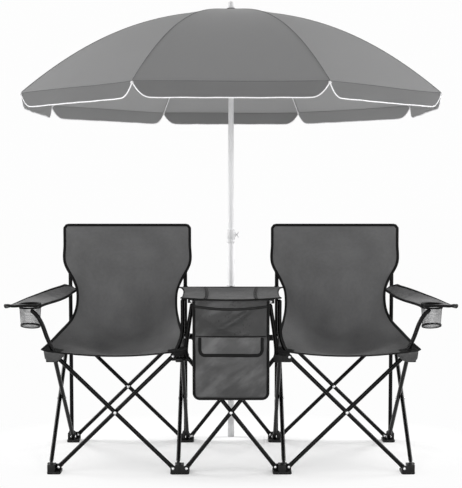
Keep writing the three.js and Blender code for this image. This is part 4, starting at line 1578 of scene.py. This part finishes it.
@dataclass
class Arm:
    """One arm rest with its taped edge and padded tip, and the net cup holder that hangs in its hole."""

    side: str
    mirror: int
    cup_x: float = 0.667
    cup_y: float = -0.419
    cup_rim: float = CUP_RIM
    cup_depth: float = 0.065
    cup_radii: tuple[float, float] = (0.0342, 0.0302)
    hole: float = 0.0312
    thick: float = 0.0052
    length: float = 0.436
    widths: tuple[float, float] = (0.026, 0.114)
    outer_edge: tuple[float, float] = (0.603, 0.743)
    heights: tuple[float, float] = (0.569, 0.549)
    twist: float = 0.020

    def face(self) -> np.ndarray:
        """Points of the upper face, from the back post to the tip.

        It widens along a smooth curve. Its outer edge rises near the post, and swells and dips are bells.

        Returns:
            Points as rows, columns and coordinate.
        """
        along, across = np.meshgrid(np.linspace(0, 1, 70), np.linspace(0, 1, 26), indexing="ij")
        ease = smoothstep(along, 0.1, 0.85)
        root = smoothstep(along, 0, 0.12)
        width, outer = lerp(*self.widths, ease), lerp(*self.outer_edge, ease) - 0.013 * (1 - root)
        rounding = 1 - np.maximum(0, along - 0.92) / 0.08 * 0.1
        u = 2 * across - 1
        x = -(outer - width / 2) - width * rounding * u / 2
        front_round = 0.022 * np.abs(u) ** 4 * smoothstep(along, 0.8, 1)
        y = SLEEVE_Y - self.length * along + front_round
        x = x - 0.006 * np.clip(u, 0, 1) * np.sin(math.pi * np.clip(along / 0.9, 0, 1)) ** 2
        z = lerp(*self.heights, along) - np.sin(math.pi * along) * 0.005
        twist = self.twist * (1 - smoothstep(along, 0.05, 0.72)) * lerp(0.45, 1, root)
        z = z + twist * np.where(u > 0, u, u * 0.4)
        swell = 0.005 * bell(along, 0.3, 0.16) - 0.009 * bell(along, 0.76, 0.16)
        z = z + np.clip(u, 0, 1) * swell
        padding = 0.004 * bell(u, 0.8, 0.25) * smoothstep(along, 0.55, 0.85)
        padding = padding + 0.0065 * smoothstep(along, 0.885, 0.965)
        padding = padding + 0.004 * u * np.sin(math.pi * along) ** 2
        z = z + 0.0022 * (1 - u**2) * smoothstep(along, 0.05, 0.3) + padding
        z = z + 0.0009 * np.sin(along * 55 + u * 2 + np.sin(along * 17) * 2) * (1 - u**4)
        grid = np.stack([x * self.mirror, y, z], -1)
        return grid[:, ::-1] if self.mirror < 0 else grid

    def build(self) -> None:
        """Makes the arm and the cup holder."""
        node, spot = f"arm_rest_{self.side}", (-self.mirror * self.cup_x, self.cup_y)
        grid = self.face()
        skin = plain_sheet(grid, self.thick, UP)
        hole = turned([[self.hole, 0.50], [self.hole, 0.62]], (*spot, 0), UP, 48)
        arm = stand_for(f"arm_{self.side}", skin, PAD_CLOTH, node, 60, [hole])
        edge = bound(grid - [0, 0, self.thick / 2], 0.0042, 0.0044)
        tape = go_with(f"arm_tape_{self.side}", edge, BLACK_TAPE, node)
        rim_z = float(np.interp(-self.cup_y, -grid[:, 12, 1], grid[:, 12, 2]))
        ring = [[0.0298, -0.0066], [0.0335, -0.0072], [0.0362, 0.0006], [0.0352, 0.0018], [0.0312, 0.0018]]
        skin = hollow([*ring, [0.0296, 0.0004]], (*spot, rim_z), UP, 48)
        rim = go_with(f"arm_hole_tape_{self.side}", skin, BLACK_TAPE, node)
        folds(node, arm, tape, rim)
        self.cup(spot)

    def cup(self, spot: tuple[float, float]) -> None:
        """Makes the net cup, gathered round its wall and leaning at its floor, with its tapes.

        Args:
            spot: The middle of the arm's hole.
        """
        node = f"cup_holder_{self.side}"
        rows, turn = np.meshgrid(np.linspace(0, 1, 44), np.arange(72) / 72 * TURN, indexing="ij")
        wall = np.minimum(rows / 0.72, 1)
        floor = np.maximum(rows - 0.72, 0) / 0.28
        gather = 0.0006 * np.sin(turn * 12) * wall
        radius = (lerp(*self.cup_radii, wall) + gather) * (1 - floor * 0.97)
        lean = -0.0118 * np.sin(turn) * wall**2 * (1 - floor)
        height = self.cup_rim - self.cup_depth * wall - 0.0035 * (1 - (1 - floor) ** 2) + lean
        grid = np.stack([spot[0] + radius * np.cos(turn), spot[1] + radius * np.sin(turn), height], -1)
        along = rows * 0.09
        cloth = np.stack([turn * 0.033, along, along], -1)
        net = stand_for(f"cup_net_{self.side}", sheet(grid, 0.0007, cloth, wrap=True), CUP_NET, node, 60)
        low = self.cup_rim - self.cup_depth
        tapes = []
        for angle in (0.1, TURN / 2 + 0.1):
            out = np.array([math.cos(angle), math.sin(angle), 0])
            line = np.array([[*spot, self.cup_rim], [*spot, low + 0.002]])
            line = line + out * np.array([[0.0348], [0.0308]])
            tapes.append(sweep(np.linspace(line[0], line[1], 12), 0.0026, 0.0008, out, 10))
        corners = ((-1, -1), (1, -1), (1, 1), (-1, 1))
        rings = ((0.0340, self.cup_rim - 0.003, 0.0024, 0.0), (0.0302, low + 0.0004, 0.0027, 0.39))
        for radius_at, level, thick, lean in rings:
            profile = [[radius_at + out * thick, up * thick] for out, up in corners]
            tapes.append(hollow(profile, (*spot, level), (0, lean, 1), 48))
        go_with(f"cup_tapes_{self.side}", together(tapes), BLACK_TAPE, node)
        cloth_area(grid, True)


@dataclass
class Table:
    """The cloth table top with its edge tape, seam tapes, corner caps and the mast's holder."""

    length: float = 0.531
    half_widths: tuple[float, float] = (0.189, 0.153)
    heights: tuple[float, float] = (0.573, 0.595)
    sag: float = 0.009
    thick: float = 0.0045
    seams: tuple[float, ...] = (0.232, 0.252, 0.748, 0.768)
    strap: tuple[float, float] = (0.567, 0.5715)

    def face(self, alongs: np.ndarray, acrosses: np.ndarray, depth: float = 0.0) -> np.ndarray:
        """Points of the upper face: its half width falls with the root of the way along, and it sags by
        1 - u squared.

        Args:
            alongs: Shares of the way from the rear edge to the front one.
            acrosses: Shares of the way from the left edge to the right one.
            depth: Distance under the face.

        Returns:
            Points as rows, columns and coordinate.
        """
        along, across = np.meshgrid(alongs, acrosses, indexing="ij")
        u = 2 * across - 1
        sag = self.sag * lerp(lerp(0.3, 0.75, along), 1, np.sin(math.pi * along))
        z = lerp(*self.heights, along) - sag * (1 - u**2) - depth
        crease = 0.0012 * np.sin(9 * u + 40 * along) + 0.0010 * np.sin(26 * u + 5 * along)
        z = z + crease * np.sin(math.pi * along)
        half = lerp(*self.half_widths, np.sqrt(along)) + 0.004 * smoothstep(along, 0.93, 1)
        bow = 0.004 * np.sin(math.pi * along)
        return np.stack([u * (half - bow), SLEEVE_Y - self.length * along, z], -1)

    def build(self) -> None:
        """Makes the table and what holds it."""
        node = "table_top"
        grid = self.face(np.linspace(0, 1, 60), np.linspace(0, 1, 48), 0.0004)
        skin = plain_sheet(grid, self.thick, UP)
        top = stand_for("table_cloth", skin, TABLE_CLOTH, node, 60)
        tape = go_with("table_tape", bound(grid - [0, 0, 0.0022], 0.0030, 0.0026), BLACK_TAPE, node)
        run = np.linspace(0.01, 0.99, 40)
        lines = [self.face(run, np.array([place]))[:, 0] + [0, 0, 0.0004] for place in self.seams]
        seams = together(sweep(line, 0.0022, 0.0006, UP, 10) for line in lines)
        seam = go_with("table_seams", seams, BLACK_TAPE, node)
        cloth_area(grid)
        folds(node, top, tape, seam)
        for side in ("left", "right"):
            self.cap(side)
        self.holder()

    def cap(self, side: str) -> None:
        """Makes the cap that joins a front corner to its tube, and its rivet.

        Args:
            side: The corner's side.
        """
        node = f"table_cap_{side}"
        low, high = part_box(node)
        stand_for(f"corner_cap_{side}", block(low, high, 0.005, 0.002), BLACK_PLASTIC, node)
        spot = ((low.x + high.x) / 2, (low.y + high.y) / 2, low.z + 0.0062)
        half = (high.y - low.y) / 2
        go_with(f"rivets_corner_cap_{side}", rivet(spot, (0, 1, 0), -half, half), RIVET_METAL, node)

    def holder(self) -> None:
        """Makes the strap and ring that hold the mast between the inner posts."""
        low, high = self.strap
        back = ROWS["rear"] + TUBE + 0.0043
        skin = block((-0.175, back - 0.004, low), (0.175, back, high), 0.0016, 0.0012, 0)
        skin += block((-0.004, back - 0.004, low), (0.004, -0.0128, high), 0.0012, 0.0008, 1)
        ring = [[0.0125, low], [0.0155, low - 0.001], [0.0168, low + 0.001], [0.0168, high - 0.001]]
        ring += [[0.0155, high + 0.001], [0.0125, high]]
        go_with("mast_ring", hollow(ring, (0, 0, 0), UP, 40), WHITE_PLASTIC, "mast_holder")
        for x in (COLUMNS["inner_left"], COLUMNS["inner_right"]):
            ends = (x - 0.0085, back - 0.005, low - 0.003), (x + 0.0085, back + 0.0004, high + 0.003)
            skin += block(*ends, 0.002, 0.001)
        stand_for("mast_clip", skin, BLACK_PLASTIC, "mast_holder")


@dataclass
class Cooler:
    """The soft cooler bag under the table, with its zip, piping, front pocket and the pocket's flap."""

    half: float = 0.119
    bottom: float = 0.267
    top: float = BAG_TOP - 0.001
    lip: float = 0.005
    back: float = -0.49945
    front: float = -0.58745
    swell: float = 0.0085
    corner: float = 0.020
    pocket_half: float = 0.112
    pocket_top: float = 0.439
    flap_half: float = 0.0985
    flap_ends: tuple[float, float] = (0.4095, 0.465)
    flap_seam: float = 0.4685
    zip_ends: float = 0.5635
    creases: tuple[tuple[float, ...], ...] = (
        (0.512, 0.60, 0.010, 0.0062),
        (0.541, 0.85, 0.008, 0.0042),
        (0.484, -0.35, 0.012, 0.0036),
        (0.352, 0.50, 0.014, 0.0062),
        (0.312, 0.75, 0.011, 0.0046),
        (0.388, 0.35, 0.010, 0.0040),
    )

    def face(self, x: np.ndarray, z: np.ndarray) -> np.ndarray:
        """How far forward the bag's front lies: a swell that dies out at its edges, with slanting creases.

        Args:
            x: Places from side to side.
            z: Heights.

        Returns:
            A y for each place.
        """
        u = np.clip(np.abs(x) / self.half, 0, 1)
        up = (z - self.bottom) / (self.top - self.bottom)
        swell = self.swell * (1 - u**4) * np.sin(math.pi * lerp(0.05, 0.95, np.clip(up, 0, 1)))
        fold = np.sin(46 * z + 21 * x + 2.5 * np.sin(18 * x)) * 0.0009 + np.sin(88 * z - 55 * x) * 0.0004
        for height, slope, width, rise in self.creases:
            off = z - height - slope * x - 1.6 * x**2
            fold = fold + rise * bell(off, 0, width) * bell(x, slope * 0.05, 0.075)
        held = (1 - u**6) * smoothstep(up, 0.0, 0.12) * (1 - smoothstep(up, 0.85, 1))
        return self.front + self.swell - swell - fold * held

    def before(self, x: np.ndarray, z: np.ndarray, gap: Any) -> np.ndarray:
        """Points at a gap in front of the bag's front."""
        return np.stack([x, self.face(x, z) - gap, z], -1)

    def pull(self, z: np.ndarray) -> np.ndarray:
        """How far the rounded lower corners draw the sides in."""
        inside = np.clip(self.corner - (z - self.bottom), 0, self.corner)
        return self.corner - np.sqrt(self.corner**2 - inside**2)

    def body(self) -> Skin:
        """The bag itself, through rings of a front and a back, with a lip at the front's top.

        Returns:
            Its skin.
        """
        shares = np.concatenate([np.linspace(0, 0.07, 9)[:-1], np.linspace(0.07, 1, 60)])
        levels = self.bottom + (self.top - self.bottom) * shares
        half = self.half - self.pull(levels)
        front_x = np.sin(np.linspace(-1, 1, 50) * math.pi / 2)
        x = front_x[None] * half[:, None]
        z = np.broadcast_to(levels[:, None], x.shape)
        edge = 0.006 * np.clip((np.abs(front_x) - 0.94) / 0.06, 0, 1)[None] ** 2
        lip = self.lip * smoothstep((z - self.bottom) / (self.top - self.bottom), 0.9, 1)
        front = np.stack([x, self.face(x, z) + edge, z + lip], -1)
        back = np.stack([x[:, ::-1], np.full(x.shape, self.back) - edge[:, ::-1] * 0.5, z], -1)
        rings = np.concatenate([front, back], axis=1)
        around = np.broadcast_to(np.arange(rings.shape[1])[None] * 0.005, rings.shape[:2])
        seam = np.full(rings.shape[:2], 0.05)
        cloth = np.stack([around, rings[..., 2], seam], -1)
        body = loft(rings)
        body.cloth = cloth.reshape(-1, 3)
        return body

    def build(self) -> None:
        """Makes the bag and all that is on it."""
        node = "cooler_bag"
        bag = stand_for("bag_body", self.body(), COOLER_CLOTH, node, 50)
        piping = go_with("bag_piping", self.piping(), BLACK_TAPE, node)
        fastener = go_with("bag_zip", self.zip(), BLACK_PLASTIC, node)
        pocket = go_with("bag_pocket", self.pocket(), POCKET_CLOTH, node, sharp=60)
        folds(node, bag, piping, fastener, pocket)
        self.flap()

    def outline(self, at_front: bool) -> np.ndarray:
        """The line down one side of a face, round both lower corners and up the other side.

        Args:
            at_front: Whether the face is the front or the back.

        Returns:
            Points of the line.
        """
        turn = np.linspace(0, math.pi / 2, 10)
        bend = self.corner * np.stack([np.cos(turn), -np.sin(turn)], -1)
        lower = np.array([self.half - self.corner, self.bottom + self.corner]) + bend
        heights = np.linspace(self.top + 0.002, self.bottom + self.corner + 0.004, 24)
        half = np.vstack([[[self.half, z] for z in heights], lower])
        bottom = [[x, self.bottom] for x in (0.06, 0, -0.06)]
        line = np.vstack([half, bottom, half[::-1] * [-1, 1]])
        y = self.face(line[:, 0], line[:, 1]) if at_front else np.full(len(line), self.back - 0.002)
        return np.stack([line[:, 0], y - 0.0005, line[:, 1]], -1)

    def piping(self) -> Skin:
        """Black piping round the front and the back, and the seam that holds the flap.

        Returns:
            Its skin.
        """
        across = (0, 1, 0)
        x = np.linspace(-self.pocket_half, self.pocket_half, 40)
        z = np.full(x.shape, self.flap_seam)
        seam = self.before(x, z, 0.0004)
        skin = sweep(self.outline(True), 0.0034, 0.0034, across, 12)
        skin += sweep(self.outline(False), 0.0026, 0.0026, across, 12)
        return skin + sweep(seam, 0.0016, 0.0009, across, 10)

    def zip(self) -> Skin:
        """The lid's zip, which dips across the front's top, with its slider and pull.

        Returns:
            Its skin.
        """
        x = np.linspace(-self.half, self.half, 40)
        z = self.zip_ends - 0.0095 * (1 - (x / self.half) ** 2)
        line = self.before(x, z, 0.0006)
        skin = sweep(line, 0.0042, 0.0018, (0, 1, 0), 10)
        at = line[35]
        skin += block(at + [-0.004, -0.0045, -0.0035], at + [0.004, -0.0005, 0.0035], 0.002, 0.0008)
        skin += block(at + [-0.014, -0.0050, -0.0016], at + [0.002, -0.0036, 0.0016], 0.0012, 0.0005)
        return skin

    def pocket(self) -> Skin:
        """The front pocket under the flap: a second layer of cloth with its own slack.

        Returns:
            Its skin.
        """
        up, across = np.meshgrid(np.linspace(0, 1, 30), np.linspace(-1, 1, 44), indexing="ij")
        x, z = across * self.pocket_half, lerp(self.bottom + 0.008, self.pocket_top, up)
        x = x * (1 - 0.03 * np.clip(1 - up / 0.06, 0, 1) ** 2)
        slack = 0.0026 * (1 - across**6) * np.sin(math.pi * up)
        grid = self.before(x, z, 0.0009 + slack)
        return plain_sheet(grid, 0.0012, (0, -1, 0))

    def flap(self) -> None:
        """Makes the pocket's flap with its thick taped edge. It turns up about its upper edge."""
        up, across = np.meshgrid(np.linspace(0, 1, 22), np.linspace(-1, 1, 48), indexing="ij")
        corner = 1 - np.sqrt(1 - np.clip((np.abs(across) - 0.84) / 0.16, 0, 0.995) ** 2)
        x = across * self.flap_half
        z = lerp(*self.flap_ends, up) + 0.016 * corner * (1 - up) ** 1.5
        hang = lerp(0.0066, 0.0014, up) + 0.0010 * np.sin(math.pi * up)
        hang = hang + 0.0007 * np.sin(across * 7 + 2) * (1 - up)
        grid = self.before(x, z, hang)
        skin = plain_sheet(grid, 0.002, (0, -1, 0))
        flap = stand_for("flap_cloth", skin, FLAP_CLOTH, "pocket_flap", 60)
        edge = sweep(np.vstack([grid[::-1, 0], grid[0, 1:-1], grid[:, -1]]), 0.0052, 0.0020, (0, 1, 0), 12)
        tape = go_with("flap_tape", edge, BLACK_TAPE, "pocket_flap")
        area = min(cloth_area(grid), 0.0112)
        folds("cooler_bag", flap, tape)


@dataclass
class Umbrella:
    """The two-part mast, its collar and screw, the ribs, the struts and runner, the canopy and the finial."""

    reach: float = 0.773
    tip: float = 1.260
    crown: float = 1.593
    peak: float = 0.2
    point: float = 0.011
    ribs: int = 8
    drop: float = 0.00735
    eave: float = 0.875
    valance: float = 0.0505
    scallop: float = 0.0455
    runner: float = 1.318
    screw: float = 0.761

    def angle(self, index: Any) -> Any:
        """A rib's turn about the mast."""
        return (index + 0.5) / self.ribs * TURN

    def rise(self, share: Any) -> Any:
        """Height of the ribs' curve: a parabola from the crown to the tips, drawn in by s(1 - s) cubed near
        the crown, and by a small cone that dies out towards the tips.

        Args:
            share: Shares of the way out.

        Returns:
            A height for each.
        """
        cone = self.point * (1 - np.exp(-share * self.reach / 0.06)) * (1 - share) ** 2
        fall = 1 - share * share - self.peak * share * (1 - share) ** 3
        return self.tip + (self.crown - self.tip) * fall - cone

    def on_rib(self, index: int, share: Any, drop: float) -> np.ndarray:
        """Points on a rib's line, below the dome by drop.

        Args:
            index: Which rib.
            share: Shares of the way out.
            drop: How far under the dome they lie.

        Returns:
            A point for each share.
        """
        turn = self.angle(index)
        r = self.reach * np.asarray(share, float)
        return np.stack([r * math.sin(turn), -r * math.cos(turn), self.rise(share) - drop], -1)

    def canopy_grid(self, downs: np.ndarray, per_panel: int) -> tuple[np.ndarray, np.ndarray]:
        """Points of the canopy's outer face, and their pattern.

        A panel is the chord between two ribs, less a sag of 4a(1 - a) times the square of the share out. Past
        the dome the valance hangs down. Its hem is level, and rises steeply in the last fifth to each rib.

        Args:
            downs: Shares of the way from the crown over the rib tips to the hem.
            per_panel: Points across each panel.

        Returns:
            Points and pattern, as rows, columns and coordinate.
        """
        down, column = np.meshgrid(downs, np.arange(self.ribs * per_panel), indexing="ij")
        index, a = column // per_panel, 0.5 - 0.5 * np.cos(math.pi * (column % per_panel) / per_panel)
        share = lerp(0.008 / self.reach, 1, np.minimum(1, down / self.eave))
        first, second = self.angle(index), self.angle(index + 1)
        r = self.reach * share
        x = lerp(r * np.sin(first), r * np.sin(second), a)
        y = lerp(-r * np.cos(first), -r * np.cos(second), a)
        hang = np.clip((down - self.eave) / (1 - self.eave), 0, 1)
        edge = np.abs(2 * a - 1)
        fall = (self.valance - self.scallop * np.clip((edge - 0.8) / 0.2, 0, 1) ** 2.4) * hang
        sag = 0.0005 * 4 * a * (1 - a) * share**2
        tuck = 0.0009 * np.sin(a * math.pi * 2 + index) * share**2 * (1 - hang)
        tuck = tuck + 0.0004 * np.sin(edge * 16) * share * hang
        wave = 0.003 * np.sin(a * math.pi * 3 + index * 1.7) + 0.0008 * np.sin(a * 23 + index)
        out = 1 + wave * hang * (1 - edge**4) / self.reach
        grid = np.stack([x * out, y * out, self.rise(share) - sag - fall + tuck], -1)
        chord = 2 * r * math.sin(math.pi / self.ribs)
        past = np.abs(down - self.eave) * 0.9 + 0.002 * (down < self.eave)
        seam = np.minimum(chord * (1 - edge) / 2, past)
        return grid, np.stack([(a - 0.5) * chord + index * 0.7, down * 0.95, seam], -1)

    def build(self) -> None:
        """Makes the whole umbrella."""
        self.mast()
        self.skeleton()
        self.canopy()

    def canopy(self) -> None:
        """Makes the canopy with its seams and piping."""
        node = "canopy"
        downs = np.concatenate([np.linspace(0, self.eave, 56), np.linspace(self.eave + 0.001, 1, 14)])
        grid, cloth = self.canopy_grid(downs, 30)
        skin = sheet(grid, 0.0009, cloth, wrap=True, flip=faces_away(grid, UP))
        canopy = stand_for("canopy_cloth", skin, CANOPY_CLOTH, node, 70)
        seams = []
        for index in range(self.ribs):
            line = self.on_rib(index, np.linspace(0.03, 0.998, 50), -0.0006)
            out = unit(np.array([line[-1, 0], line[-1, 1], 0]))
            seams.append(sweep(line, 0.0017, 0.0008, np.array(UP) + out * 0.4, 8))
        edge = self.canopy_grid(np.array([self.eave + 0.001]), 30)[0][0]
        edge = edge * [1.0012, 1.0012, 1] + [0, 0, -0.0008]
        seams.append(sweep(edge, 0.0008, 0.0008, UP, 8, loop=True))
        hem = self.canopy_grid(np.array([1.0]), 60)[0][0]
        seam = go_with("canopy_seams", together(seams), DARK_THREAD, node)
        piping = go_with("canopy_piping", sweep(hem, 0.0017, 0.0020, UP, 10, loop=True), WHITE_TAPE, node)
        area = cloth_area(grid, True)

    def mast(self) -> None:
        """Makes both masts, the collar, its screw and the finial."""
        foot = (0, 0, 0)
        lower = [[0.0105, 0], [0.0116, 0], [0.012, 0.0006], [0.012, 0.7415], [0.0117, 0.742], [0.0105, 0.742]]
        stand_for("mast_lower", hollow(lower, foot, UP, 48), WHITE_ENAMEL, "lower_mast")
        upper = [[0.0085, 0.38], [0.0097, 0.38], [0.01, 0.3806]]
        upper += [[0.01, 1.5845], [0.0097, 1.585], [0.0085, 1.585]]
        stand_for("mast_upper", hollow(upper, foot, UP, 48), WHITE_ENAMEL, "upper_mast")
        plug = [[0.0085, 0.0002], [0.0103, 0.0003], [0.0104, 0.004], [0.0104, 0.012]]
        go_with("mast_foot_plug", turned(plug, foot, UP, 40), WHITE_PLASTIC, "lower_mast")
        collar = [[0.0106, 0.730], [0.0142, 0.730], [0.0150, 0.7315], [0.0150, 0.7405], [0.0144, 0.7415]]
        collar += [[0.0144, 0.7435], [0.0150, 0.7445], [0.0150, 0.7765], [0.0142, 0.7795], [0.0128, 0.780]]
        boss = [[0.0078, 0.0125], [0.0078, 0.0178], [0.0068, 0.0188], [0.0036, 0.0188]]
        skin = hollow([*collar, [0.0106, 0.780]], foot, UP, 48)
        skin += turned(boss, (0, 0, self.screw), (1, 0, 0), 28)
        stand_for("collar_body", skin, WHITE_PLASTIC, "mast_collar")
        shank = [[0.0029, 0.0106], [0.0029, 0.0215], [0.0052, 0.0222], [0.0052, 0.0245], [0.003, 0.0252]]
        skin = turned(shank, (0, 0, self.screw), (1, 0, 0), 24)
        for side in (-1, 1):
            middle = np.array([0.0262, 0, self.screw + side * 0.0058])
            bends = [middle + [-0.002, 0, -side * 0.003], middle, middle + [0.0014, 0, side * 0.0046]]
            wing = smooth_path(bends, 6)
            skin += sweep(wing, 0.0019, np.linspace(0.003, 0.0042, len(wing)), (0, 1, 0), 16)
        stand_for("collar_wing_screw", skin, WHITE_PLASTIC, "collar_screw")
        cap = [[1.0, 0.0], [1.04, 0.03], [1.04, 0.16], [0.9, 0.24], [0.84, 0.42], [0.83, 0.6], [0.74, 0.78]]
        cap = np.array([*cap, [0.56, 0.92], [0.3, 0.99], [0.02, 1.0]]) * [0.0148, 0.0252]
        stand_for("finial", turned(cap, (0, 0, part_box("top_cap")[0].z), UP, 48), WHITE_PLASTIC, "top_cap")

    def skeleton(self) -> None:
        """Makes the ribs with their top notch and tips, and the struts with their runner."""
        hub_top = float(self.rise(0.020 / self.reach)) - self.drop + 0.003
        notch = [[0.0103, -0.014], [0.0185, -0.014], [0.020, -0.0125], [0.020, -0.009], [0.0168, -0.008]]
        notch += [[0.0168, -0.006], [0.020, -0.005], [0.020, -0.001], [0.019, 0.0], [0.0103, 0.0]]
        runner = [[0.0105, -0.022], [0.0165, -0.022], [0.0170, -0.020], [0.0150, -0.016], [0.0138, 0.006]]
        runner += [[0.0150, 0.010], [0.0170, 0.011], [0.0170, 0.0205], [0.0160, 0.022], [0.0105, 0.022]]
        end_cap = [[0.0008, -0.012], [0.0036, -0.0115], [0.0038, -0.002], [0.0048, 0.0005], [0.0050, 0.0030]]
        end_cap += [[0.0036, 0.0056], [0.0008, 0.0066]]
        bars = [hollow(notch, (0, 0, hub_top), UP, 40)]
        struts = [hollow(runner, (0, 0, self.runner), UP, 40)]
        joints, tips = [], []
        for index in range(self.ribs):
            line = self.on_rib(index, np.linspace(0.016 / self.reach, 0.985, 40), self.drop)
            bars.append(sweep(line, 0.0022, 0.0027, UP, 10))
            turn = self.angle(index)
            start = np.array([0.0136 * math.sin(turn), -0.0136 * math.cos(turn), self.runner + 0.017])
            end = self.on_rib(index, 0.42, self.drop + 0.0066)
            struts.append(sweep(np.linspace(start, end, 8), 0.0019, 0.0023, UP, 10))
            joints.append(rivet(end, (math.cos(turn), math.sin(turn), 0), -0.0032, 0.0032, 0.0021))
            clip = block((-0.0034, -0.0034, -0.006), (0.0034, 0.0034, 0.004), 0.0016, 0.0008)
            joints.append(clip.moved(self.on_rib(index, 0.425, self.drop + 0.0032)))
            outward = self.on_rib(index, 1.0, 0) - self.on_rib(index, 0.96, 0)
            tips.append(turned(end_cap, self.on_rib(index, 0.9985, 0.0062), outward, 16))
        stand_for("ribs", together(bars), WHITE_ENAMEL, "rib_frame")
        stand_for("struts", together(struts), WHITE_ENAMEL, "strut_frame")
        go_with("strut_joints", together(joints), WHITE_PLASTIC, "strut_frame")
        go_with("rib_tips", together(tips), WHITE_PLASTIC, "rib_frame")


# The studio


@dataclass(frozen=True)
class Softbox:
    """A lamp that points at the object: square, or a strip where its height is given."""

    name: str
    place: tuple[float, float, float]
    size: float
    power: float
    high: float = 0.0
    aim: tuple[float, float, float] = (0, -0.3, 0.7)

    def build(self) -> None:
        """Adds the lamp."""
        light = bpy.data.lights.new(self.name, "AREA")
        light.shape, light.size, light.size_y = "RECTANGLE", self.size, self.high or self.size
        light.energy = self.power
        lamp = bpy.data.objects.new(self.name, light)
        lamp.visible_camera = False
        lamp.location = self.place
        lamp.rotation_euler = (Vector(self.aim) - Vector(self.place)).to_track_quat("-Z", "Y").to_euler()
        bpy.context.scene.collection.objects.link(lamp)
        lamp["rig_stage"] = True


@dataclass
class Studio:
    """A pale floor that keeps the object's shadow, a white surround, four lamps and the camera."""

    sky: float = 0.42
    white: float = 0.985
    eye: tuple[float, float, float] = (0, -3.787, 0.958)
    tilt: float = 0.0612
    lens: float = 75.2

    def build(self) -> None:
        """Adds the studio to the scene."""
        scene = bpy.context.scene
        scene.view_settings.view_transform = "Standard"
        self.surround(scene)
        points = np.array([[-14, -8, 0], [14, -8, 0], [14, 22, 0], [-14, 22, 0]], float)
        add_piece("floor", Skin(points, [np.array([[0, 1, 2, 3]])]), FLOOR)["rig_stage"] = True
        for lamp in (
            Softbox("left_lamp", (-4.2, 0.9, 2.5), 2.0, 180),
            Softbox("right_lamp", (4.2, 0.9, 2.5), 2.0, 180),
            Softbox("left_strip", (-1.6, -4.2, 1.2), 0.5, 46, high=2.3),
            Softbox("right_strip", (1.6, -4.2, 1.2), 0.5, 46, high=2.3),
        ):
            lamp.build()
        camera = bpy.data.cameras.new("camera")
        camera.lens, camera.sensor_width, camera.sensor_fit = self.lens, 36, "AUTO"
        eye = bpy.data.objects.new("camera", camera)
        eye.location = self.eye
        eye.rotation_euler = (math.pi / 2 - self.tilt, 0, 0)
        scene.collection.objects.link(eye)
        scene.camera = eye

    def surround(self, scene: bpy.types.Scene) -> None:
        """White where it is seen directly, and a softer grey as a light.

        Args:
            scene: The scene that gets it.
        """
        world = bpy.data.worlds.new("surround")
        graph = Graph(world)
        strength = self.sky + seen_directly(graph) * (self.white - self.sky)
        light = graph.node("ShaderNodeBackground", {}, {"Color": (1, 1, 1, 1), "Strength": strength})
        graph.close("ShaderNodeOutputWorld", light)
        scene.world = world


def build_object() -> None:
    """Makes every piece of the object."""
    parts = [
        Steelwork(),
        Seat("left", -CHAIR_MIDDLE),
        Seat("right", CHAIR_MIDDLE),
        Arm("left", 1),
        Arm("right", -1),
        Table(),
        Cooler(),
        Umbrella(),
    ]
    for part in parts:
        part.build()


def write_sizes() -> None:
    """Writes the CAD model's box and the finished object's box."""
    boxes = {"cad": CAD_BOX, "visual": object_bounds()}
    boxes = {name: [list(map(float, end)) for end in box] for name, box in boxes.items()}
    LOG.info("boxes: %s", boxes)


def main() -> None:
    logging.basicConfig(level=logging.INFO, format="%(message)s")
    build_object()
    Studio().build()
    write_sizes()


if __name__ == "__main__":
    main()
